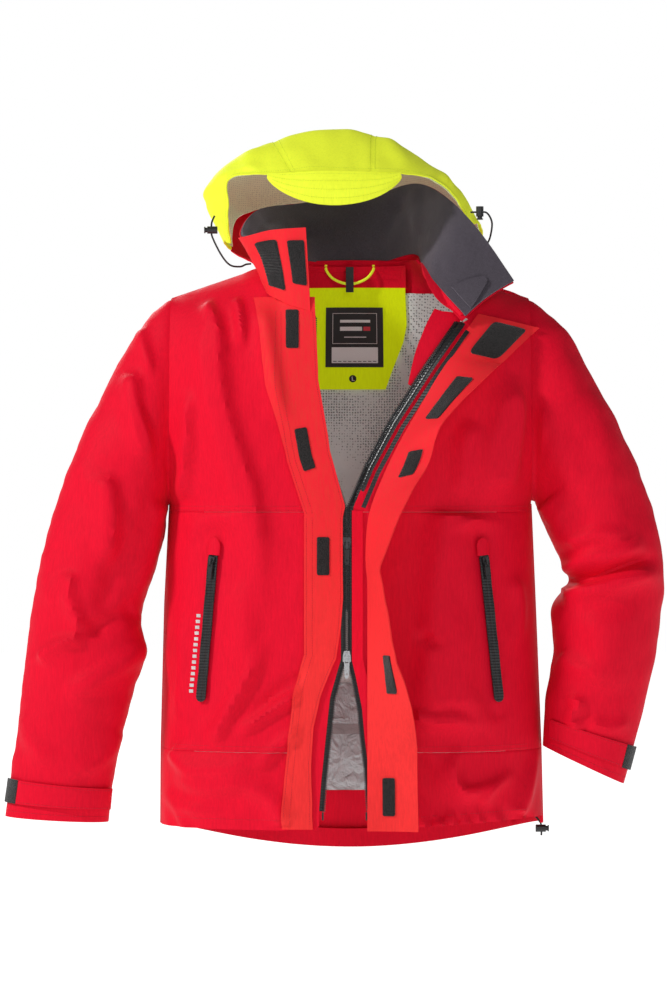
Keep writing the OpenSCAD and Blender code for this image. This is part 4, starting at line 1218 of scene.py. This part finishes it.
def collar_folds(t, r):
    p = np.stack([t * 620, r * 110], -1)
    h = 1.6 * ripples(p, 90, 61) + 0.6 * ripples(p, 34, 62)
    for t0, r0, t1, r1, w, k in ((0.62, 0.1, 0.7, 0.9, 14, 4.5), (0.76, 0.2, 0.72, 0.95, 12, -4), (0.4, 0.3, 0.56, 0.45, 9, 3),
                                 (0.3, 0.5, 0.42, 0.7, 9, 3)):
        h = h + fold(p, [[t0 * 620, r0 * 110], [t1 * 620, r1 * 110]], w, k)
    return h * np.clip(t / 0.25, 0.15, 1) * np.clip((1 - t) / 0.1, 0.2, 1)


COLLAR = Surface(collar_point, collar_folds, -1, (0.004, 0.03))
v, u = grid(22, 150)
cloth("collar_outer", COLLAR, u * 0.99 + 0.01, mix(-0.08, 1.0, v), "jacket", ["collar_shell"], shell_red,
      lift=1.6, thick=1.8)
cloth("collar_fleece", COLLAR, u * 0.985 + 0.012, mix(0.0, 1.0, v), "jacket", ["collar_lining"], fleece,
      lift=-1.0, thick=3.2)
neck_path, _ = COLLAR.at(np.linspace(0.03, 0.985, 140), np.full(140, -0.02), 1.0)
v, u = grid(22, 30)
cloth("collar_flap", COLLAR, mix(0.0, 0.24, u), mix(-0.13, 1.02, v), "jacket", ["right_collar_flap"],
      flap_red_painted_lit, lift=5.6, thick=2.0)
collar_patches = []
for k, (c0, c1, r0, r1, ribs) in enumerate(((0.05, 0.32, 0.18, 0.82, 0), (0.46, 0.78, 0.06, 0.84, 16))):
    def place(u, v, box=(c0, c1, r0, r1)):
        return mix(0.005, 0.24, mix(box[0], box[1], u)), mix(box[2], box[3], v)
    collar_patches.append(patch(f"collar_patch_{k}", COLLAR, place, "jacket", 7.7, rows=34, columns=10, ribs=ribs))
cuff_patches = []
for s, name in SIDES.items():
    def place(u, v):
        return mix(TAB_LOW - 0.004, TAB_TOP + 0.004, v), mix(20, 70, u)
    cuff_patches.append(patch(f"{name}_cuff_loops", SLEEVES[s], place, "jacket", 1.5, folded=0.3, thick=1.2,
                              rows=10, columns=16, aspect=0.6))
patch_obj = join("patches_pile", right_patches + lapel_patches + collar_patches + cuff_patches)
finish_piece(patch_obj, "jacket", ["closure_patches"])

# the chin guard, a soft triangle of fleece over the top of the zip
v, u = grid(12, 12)
tri_t = 0.93 + 0.065 * mix(u, 0.5, v * 0.85)
tri_r = 0.12 + 0.48 * v
cloth("chin_guard_fleece", COLLAR, tri_t, tri_r, "jacket", ["chin_guard"], fleece, lift=-5.2, thick=2.4)

# ---------------------------------------------------------------- inside the back


def inner(name, x0, x1, z0, z1, lift, nodes, slot, material, rows=30, columns=30, thick=0.9, edge=None):
    v, u = grid(rows, columns)
    z = mix(z0, z1, v)
    x = mix(x0, x1 if edge is None else edge(z), u)
    return cloth(name, BACK, x, z, "jacket", nodes, material, lift=lift, thick=thick, folded=0.35)


def facing_edge(z):
    return table(z, [[-168, 52], [-140, 62], [-100, 78], [-75, 84], [-12, 84]])


inner("neck_strip", -72, 76, -9, 1, -7.0, ["neck_facing"], "shell_red", shell_red, 6, 30)
inner("neck_band", -82, 84, -24, 9, -6.4, [], "shell_red", shell_red, 8, 30)
inner("lime_facing", -70, 84, -168, -21, -8.6, ["yoke_facing"], "shell_lime", facing_lime, 40, 40, edge=facing_edge)
inner("back_net", -205, 205, -592, -30, -5.2, ["mesh_lining"], "mesh", net, 90, 80)
inner("back_silver", -225, 225, -742, -588, -6.2, ["lower_lining"], "silver_lining", silver, 40, 90)
inner("silver_tape", -215, 215, -662, -648, -7.4, [], "silver_lining", seam_tape, 5, 90, 0.5)

v, u = grid(20, 8)
facing_z = mix(-170, -66, v)
facing_x, facing_z = beside(facing_z, 1, mix(mix(-4, -34, np.sin(v * math.pi / 2)), 6, u))
cloth("left_neck_facing", FRONT, facing_x, facing_z, "jacket", [], shell_red, lift=-5.8, thick=1.2)

# the label: a black cloth with a frame, a row of bars, a white name box, and a size disc
label_parts = []
v, u = grid(24, 22)
label_parts.append(thick_sheet("label", *BACK.at(mix(-35, 49, u), mix(-136, -49, v), -11.3, 0.35), 0.7, label_black))


def label_box(name, x0, x1, z0, z1, material, lift=-12.3):
    v, u = grid(5, 10)
    return thick_sheet(name, *BACK.at(mix(x0, x1, u), mix(z0, z1, v), lift, 0.35), 0.35, material)


label_parts.append(label_box("name_box", -26, 41, -130, -107, label_white))
for k, (x0, x1, z0, z1) in enumerate(((-25, 40, -58, -57.2), (-25, 40, -102, -101.2), (-25, -24.2, -102, -57.2),
                                      (39.2, 40, -102, -57.2))):
    label_parts.append(label_box(f"label_frame_{k}", x0, x1, z0, z1, print_grey))
for k, (x0, x1, z0, z1, mat) in enumerate(((-14, 30, -71, -67, label_white), (-14, 18, -83, -77, label_white),
                                           (20, 30, -83, -77, mark_red), (-8, 24, -93, -91.6, print_grey))):
    label_parts.append(label_box(f"label_bar_{k}", x0, x1, z0, z1, mat))
for k in range(9):
    label_parts.append(label_box(f"label_tick_{k}", -24 + k * 7.2, -19 + k * 7.2, -128, -127, label_black, -12.8))
angles = np.linspace(0, TAU, 25)[:-1]
ring_u, ring_v = np.meshgrid(np.linspace(0, 1, 5), np.linspace(0, 1, 25), indexing="ij")
disc_x = 4.5 + 5.2 * (0.02 + ring_u) * np.cos(ring_v * TAU)
disc_z = -152.5 + 5.2 * (0.02 + ring_u) * np.sin(ring_v * TAU)
label_parts.append(thick_sheet("size_disc", *BACK.at(disc_x, disc_z, -9.6, 0.35), 0.6, label_black))
label_parts.append(label_box("size_mark", 3.2, 4.2, -155.5, -149.5, label_white, -10.2))
label_parts.append(label_box("size_mark_foot", 3.2, 7.0, -155.5, -154.6, label_white, -10.2))
finish_piece(join("label_cloth", label_parts), "jacket", ["care_label"])

# the net that lines the two fronts
net_parts = []
for s in (-1, 1):
    v, u = grid(60, 40)
    z = mix(-640, -150, v)
    x = mix(zip_x(z, s) + s * 30, s * 205, u)
    net_parts.append(thick_sheet(f"front_net_{s}", *FRONT.at(x, z, -6.4, 0.3), 0.8, net))
finish_piece(join("front_net", net_parts), "jacket", [])
bag_parts = []
for s in (-1, 1):
    v, u = grid(24, 10)
    z = mix(-634, -398, v)
    x = s * mix(105, 175, u)
    bag_parts.append(thick_sheet(f"bag_{s}", *FRONT.at(x, z, -10.8, 0.3), 1.0, silver))
finish_piece(join("pocket_bag_cloth", bag_parts), "jacket", ["pocket_bags"])

# ---------------------------------------------------------------- tubes, cords and the hanging loop


def tube(name, path, radius, material, sides=12, flat=1.0, closed=False):
    path = np.asarray(path, float)
    ahead = np.vstack([path[1:], path[-1:]]) - np.vstack([path[:1], path[:-1]])
    t = unit(ahead)
    a = unit(np.cross(t, np.array([0.13, 0.97, 0.21])))
    b = np.cross(t, a)
    k = np.arange(sides) * TAU / sides
    ring = path[:, None, :] + radius * (np.cos(k)[None, :, None] * a[:, None, :]
                                        + flat * np.sin(k)[None, :, None] * b[:, None, :])
    n = len(path)
    faces = [(i * sides + j, i * sides + (j + 1) % sides, (i + 1) * sides + (j + 1) % sides, (i + 1) * sides + j)
             for i in range(n - 1) for j in range(sides)]
    faces += [tuple(range(sides))[::-1], tuple(range((n - 1) * sides, n * sides))]
    return make_object(name, ring.reshape(-1, 3), faces, material, 60)


finish_piece(tube("neck_binding", neck_path, 4.6, shell_red, 12, 0.7), "jacket", [])

# folded welts along the side and shoulder seams
welts = []
for s in (-1, 1):
    z = np.linspace(HEM, -332, 60)
    side = np.stack([side_x(z, s) - s * 1.2, 0 * z + MID_Y, z], -1)
    x = np.linspace(93, 249, 40)
    shoulder = np.stack([s * x, 0 * x + MID_Y, shoulder_z(x) - 1.6], -1)
    welts += [tube(f"side_welt_{s}", side, 2.4, shell_red, 10), tube(f"shoulder_welt_{s}", shoulder, 2.4, shell_red, 10)]
finish_piece(join("seam_welts", welts), "jacket", [])

LOOP = [[-34, -2, 8], [-33, -9, 0], [-24, -10, -11], [-8, -10.5, -18], [8, -10.5, -18],
        [24, -10, -11], [33, -9, 0], [34, -2, 8]]
loop = tube("hanging_loop_cord", spline(LOOP, np.linspace(0, 1, 90)), 1.9, shell_lime, 14, 0.75)
finish_piece(loop, "jacket", ["hanging_loop"])

HOOD_CORD_RIGHT = [[-189, -112, 70], [-193, -114, 60], [-193, -114, 50], [-192, -114, 40], [-180, -112, 16],
                   [-168, -106, 2], [-154, -98, 0], [-146, -84, 4], [-140, -66, 6]]
HOOD_CORD_LEFT = [[168, -112, 75], [181, -112, 75], [191, -111, 74], [198, -107, 62], [197, -102, 46],
                  [193, -94, 34], [184, -82, 24], [170, -70, 16], [152, -60, 10]]
for name, points in (("right", HOOD_CORD_RIGHT), ("left", HOOD_CORD_LEFT)):
    line = spline(points, np.linspace(0, 1, 80))
    piece = tube(f"hood_cord_{name}_braid", line, 1.3, cord_black)
    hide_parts(f"hood_cord_{name}")
    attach(piece, "hood")


def hem_run(x):
    return back(x, tail_z(x) + 12) - np.array([0, 8, 0])


hem_points = [hem_run(np.array(float(k))) for k in range(-225, 226, 25)]
hem_points += [[245, -62, -768], [256, -80, -768], [262, -90, -772], [267, -94, -779], [268, -94, -786], [268, -94, -796]]
hem_cord = tube("hem_cord_braid", spline(np.array([np.asarray(p, float) for p in hem_points]), np.linspace(0, 1, 240)),
                1.3, cord_black)
finish_piece(hem_cord, "jacket", ["hem_cord"])
v, u = grid(8, 90)
x = mix(-236, 236, u)
cloth("hem_facing", BACK, x, tail_z(x) + mix(1.5, 27, v), "jacket", [], shell_red, lift=-10.4, folded=0)

# ---------------------------------------------------------------- hood
HOOD_EDGE = [[-166, -92, 30], [-170, -108, 84], [-164, -120, 122], [-92, -152, 124], [-26, -162, 126],
             [44, -158, 124], [110, -138, 121], [146, -118, 92], [166, -100, 56]]
HOOD_RIDGE = [[-176, -60, 38], [-198, -60, 88], [-186, -58, 126], [-120, -52, 168], [-30, -45, 187],
              [48, -45, 178], [112, -50, 140], [158, -60, 98], [184, -72, 58]]
HOOD_SEAM = [[-168, -20, 26], [-165, 50, 70], [-140, 84, 88], [-80, 100, 100], [-5, 106, 104],
             [66, 100, 98], [120, 80, 84], [150, 46, 60], [184, -36, 30]]
HOOD_BASE = [[-136, -44, 8], [-118, -14, 12], [-90, 14, 14], [-46, 24, 16], [-5, 28, 16],
             [40, 26, 16], [82, 14, 14], [112, -12, 12], [136, -44, 6]]
CROWN_END = 0.645


def hood_point(t, s):
    lines = [spline(line, t) for line in (HOOD_EDGE, HOOD_RIDGE, HOOD_SEAM, HOOD_BASE)]
    p = [lines[0], lines[0], lines[1], lines[2], lines[3], lines[3]]
    k = np.clip(s, 0, 0.99999) * 3
    i = np.floor(k).astype(int)
    f = (k - i)[..., None]
    stack = np.stack([lines[0]] + lines + [lines[3]], 0)

    def pick(j):
        return np.take_along_axis(stack, np.broadcast_to(j[None, ..., None], (1,) + f.shape[:-1] + (3,)), 0)[0]
    p0, p1, p2, p3 = pick(i), pick(i + 1), pick(i + 2), pick(i + 3)
    return 0.5 * (2 * p1 + (p2 - p0) * f + (2 * p0 - 5 * p1 + 4 * p2 - p3) * f * f
                  + (3 * p1 - p0 - 3 * p2 + p3) * f ** 3)


def hood_folds(t, s):
    p = np.stack([t * 560, s * 260], -1)
    h = 0.9 * ripples(p, 100, 71) + 0.6 * ripples(p, 36, 72)
    h = h + 5 * np.exp(-((s - 0.33) / 0.2) ** 2) * np.sin(np.pi * t)
    for t0, s0, t1, s1, w, k in ((0.3, 0.05, 0.36, 0.3, 12, 4), (0.7, 0.05, 0.62, 0.32, 14, 4), (0.2, 0.1, 0.16, 0.4, 12, 4),
                                 (0.82, 0.08, 0.78, 0.4, 12, 4), (0.4, 0.3, 0.6, 0.28, 12, 3), (0.12, 0.5, 0.4, 0.55, 16, 4),
                                 (0.6, 0.55, 0.88, 0.5, 16, 4)):
        h = h + fold(p, [[t0 * 560, s0 * 260], [t1 * 560, s1 * 260]], w, k)
    for t0 in (0.4, 0.6):
        h = h - 1.3 * np.exp(-((t - t0) * 560 / 2.2) ** 2)
    h = h - 1.3 * np.exp(-((s - CROWN_END) * 260 / 2.5) ** 2)
    return np.clip(h, -3, 9)


HOOD = Surface(hood_point, hood_folds, 1, (0.004, 0.01))
v, u = grid(56, 130)
cloth("hood_crown_cloth", HOOD, mix(0.01, 0.99, u), mix(0.0, CROWN_END, v), "hood", ["hood_crown"],
      shell_lime, lift=1.6, thick=1.5)
v, u = grid(40, 110)
cloth("hood_net_lining", HOOD, mix(0.02, 0.98, u), mix(0.045, CROWN_END - 0.005, v), "hood", ["hood_lining"],
      hood_net, lift=-2.0, thick=1.0)
v, u = grid(30, 130)
over, normals = HOOD.at(mix(0.01, 0.99, u), mix(CROWN_END + 0.004, 0.99, v), 1.6)
hood_neck = thick_sheet("hood_neck_cloth", over, normals, 1.5, shell_red)
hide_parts("hood_neck")
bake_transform(hood_neck)
cut_size(over)


def peak_point(u, r):
    e = spline(HOOD_EDGE, mix(0.335, 0.675, u))
    d = 48 * np.maximum(0.05, np.sin(np.pi * np.clip(u, 0, 1)) ** 0.55)
    bow = 3.5 * np.sin(np.pi * np.clip(r, 0, 1))
    return e + np.stack([0 * u, -2 - 12 * r * d / 48 - bow, 1.5 - r * d], -1)


def peak_folds(u, r):
    p = np.stack([u * 190, r * 50], -1)
    h = 0.7 * ripples(p, 70, 81)
    for row in (0.25, 0.5, 0.75):
        h = h - 0.35 * np.exp(-((r - row) * 48 / 1.2) ** 2)
    return h


PEAK = Surface(peak_point, peak_folds, -1, (0.01, 0.02))
v, u = grid(26, 70)
cloth("hood_peak_cloth", PEAK, mix(0.01, 0.99, u), 1 - v, "hood", ["hood_peak"], shell_lime,
      lift=1.0, thick=2.2)

# ---------------------------------------------------------------- topstitching


def rows_of(points, offsets, axis=1):
    out = []
    for o in offsets:
        p = np.array(points, float)
        p[:, axis] += o
        out.append(p)
    return out


front_paths = []
for s in (-1, 1):
    for seam in (CHEST_SEAM, BAND_SEAM):
        start = panel_edge_x(np.array(float(seam)), s) + s * 52
        line = [[start, seam], [mix(start, s * 250, 0.5), seam], [s * 246, seam]]
        front_paths += rows_of(line, (2.6, 8.0))
    line = [[s * k, hem_z(np.array(float(s * k)), s) + 14] for k in (95, 150, 200, 240)]
    front_paths += [line]
stitches("front_stitching", FRONT, front_paths, "jacket", "shell_red", red_thread)

placket_paths = []
for d in (-55, -47):
    zz = np.linspace(HEM + 8, -70, 60)
    x, z = beside(zz, -1, d)
    placket_paths.append(np.stack([x, z], -1))
zz = np.linspace(HEM + 8, -70, 60)
x, z = beside(zz, -1, placket_edge(zz) - 3.5)
placket_paths.append(np.stack([x, z], -1))
parts = []
for k, path in enumerate(placket_paths):
    p, n = FRONT.at(path[:, 0], path[:, 1], 5.4)
    parts.append(stitch_mesh(f"placket_stitch_{k}", p, n, red_thread))
finish_piece(join("placket_stitching", parts), "jacket", [])

back_paths = rows_of([[-240, -200], [-120, -200], [0, -200], [120, -200], [240, -200]], (-3, -9))
back_paths += rows_of([[-252, BAND_SEAM], [-120, BAND_SEAM], [0, BAND_SEAM], [120, BAND_SEAM], [255, BAND_SEAM]], (3, 9))
back_paths += [[[k, float(tail_z(k)) + 14] for k in (-250, -170, -80, 0, 80, 170, 250)]]
stitches("back_stitching", BACK, back_paths, "jacket", "shell_red", red_thread)

cuff_paths = {s: [[[0.982, a] for a in (20, 60, 100, 140, 165)]] for s in (-1, 1)}
for s, name in SIDES.items():
    stitches(f"{name}_cuff_stitching", SLEEVES[s], cuff_paths[s], "jacket", "shell_red", red_thread)
    inset = 0.0035
    paths = [[[TAB_TOP + inset, a] for a in (TAB_FREE + 3, 80, 120, TAB_SEWN[s] - 3)],
             [[TAB_LOW - inset, a] for a in (TAB_FREE + 3, 80, 120, TAB_SEWN[s] - 3)]]
    parts = []
    for k, path in enumerate(paths):
        line = spline(path, np.linspace(0, 1, 60))
        p, n = SLEEVES[s].at(line[:, 0], line[:, 1], 4.1, 0.3)
        parts.append(stitch_mesh(f"{name}_tab_stitch_{k}", p, n, red_thread))
    finish_piece(join(f"{name}_tab_stitching", parts), f"{name}_cuff_tab", [])

hood_paths = [[[t0 + d, 0.02], [t0 + d, 0.3], [t0 + d, 0.62]] for t0 in (0.4, 0.6) for d in (-0.006, 0.006)]
hood_paths += [[[0.02, 0.045], [0.2, 0.045], [0.5, 0.045], [0.8, 0.045], [0.98, 0.045]]]
hood_paths += [[[0.02, 0.63], [0.3, 0.63], [0.6, 0.63], [0.98, 0.63]]]
stitches("hood_stitching", HOOD, hood_paths, "hood", "shell_lime", lime_thread, lift=1.8)
peak_paths = [[[0.04, r], [0.3, r], [0.6, r], [0.96, r]] for r in (0.08, 0.3, 0.55, 0.8)]
stitches("peak_stitching", PEAK, peak_paths, "hood", "shell_lime", lime_thread, lift=1.2)

# a generic reflective bar beside the right pocket, in place of any print
bars = []
for k in range(14):
    z0 = -592 + k * 8
    v, u = grid(3, 3)
    x = mix(-222 + k * 0.8, -217 + k * 0.8, u)
    bars.append(thick_sheet(f"bar_{k}", *FRONT.at(x, mix(z0, z0 + 4.5, v), 0.45), 0.3, print_grey))
finish_piece(join("reflective_bars", bars), "jacket", [])

# ---------------------------------------------------------------- CAD pieces that keep their shape
CAD_LOOKS = {
    slider_dark: ["upper_zip_slider", "right_pocket_slider", "left_pocket_slider"],
    slider_silver: ["lower_zip_slider", "lower_zip_pull"],
    pull_black: ["upper_zip_pull", "right_pocket_pull", "left_pocket_pull", "zip_end_fittings"],
    lock_black: ["hood_locks", "hood_button_right", "hood_button_left", "hem_lock", "hem_button"],
    label_black: ["hang_tab"],
}
for material, names in CAD_LOOKS.items():
    for node in names:
        obj = NODES[node]
        obj.data.materials.clear()
        obj.data.materials.append(material)

low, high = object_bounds()
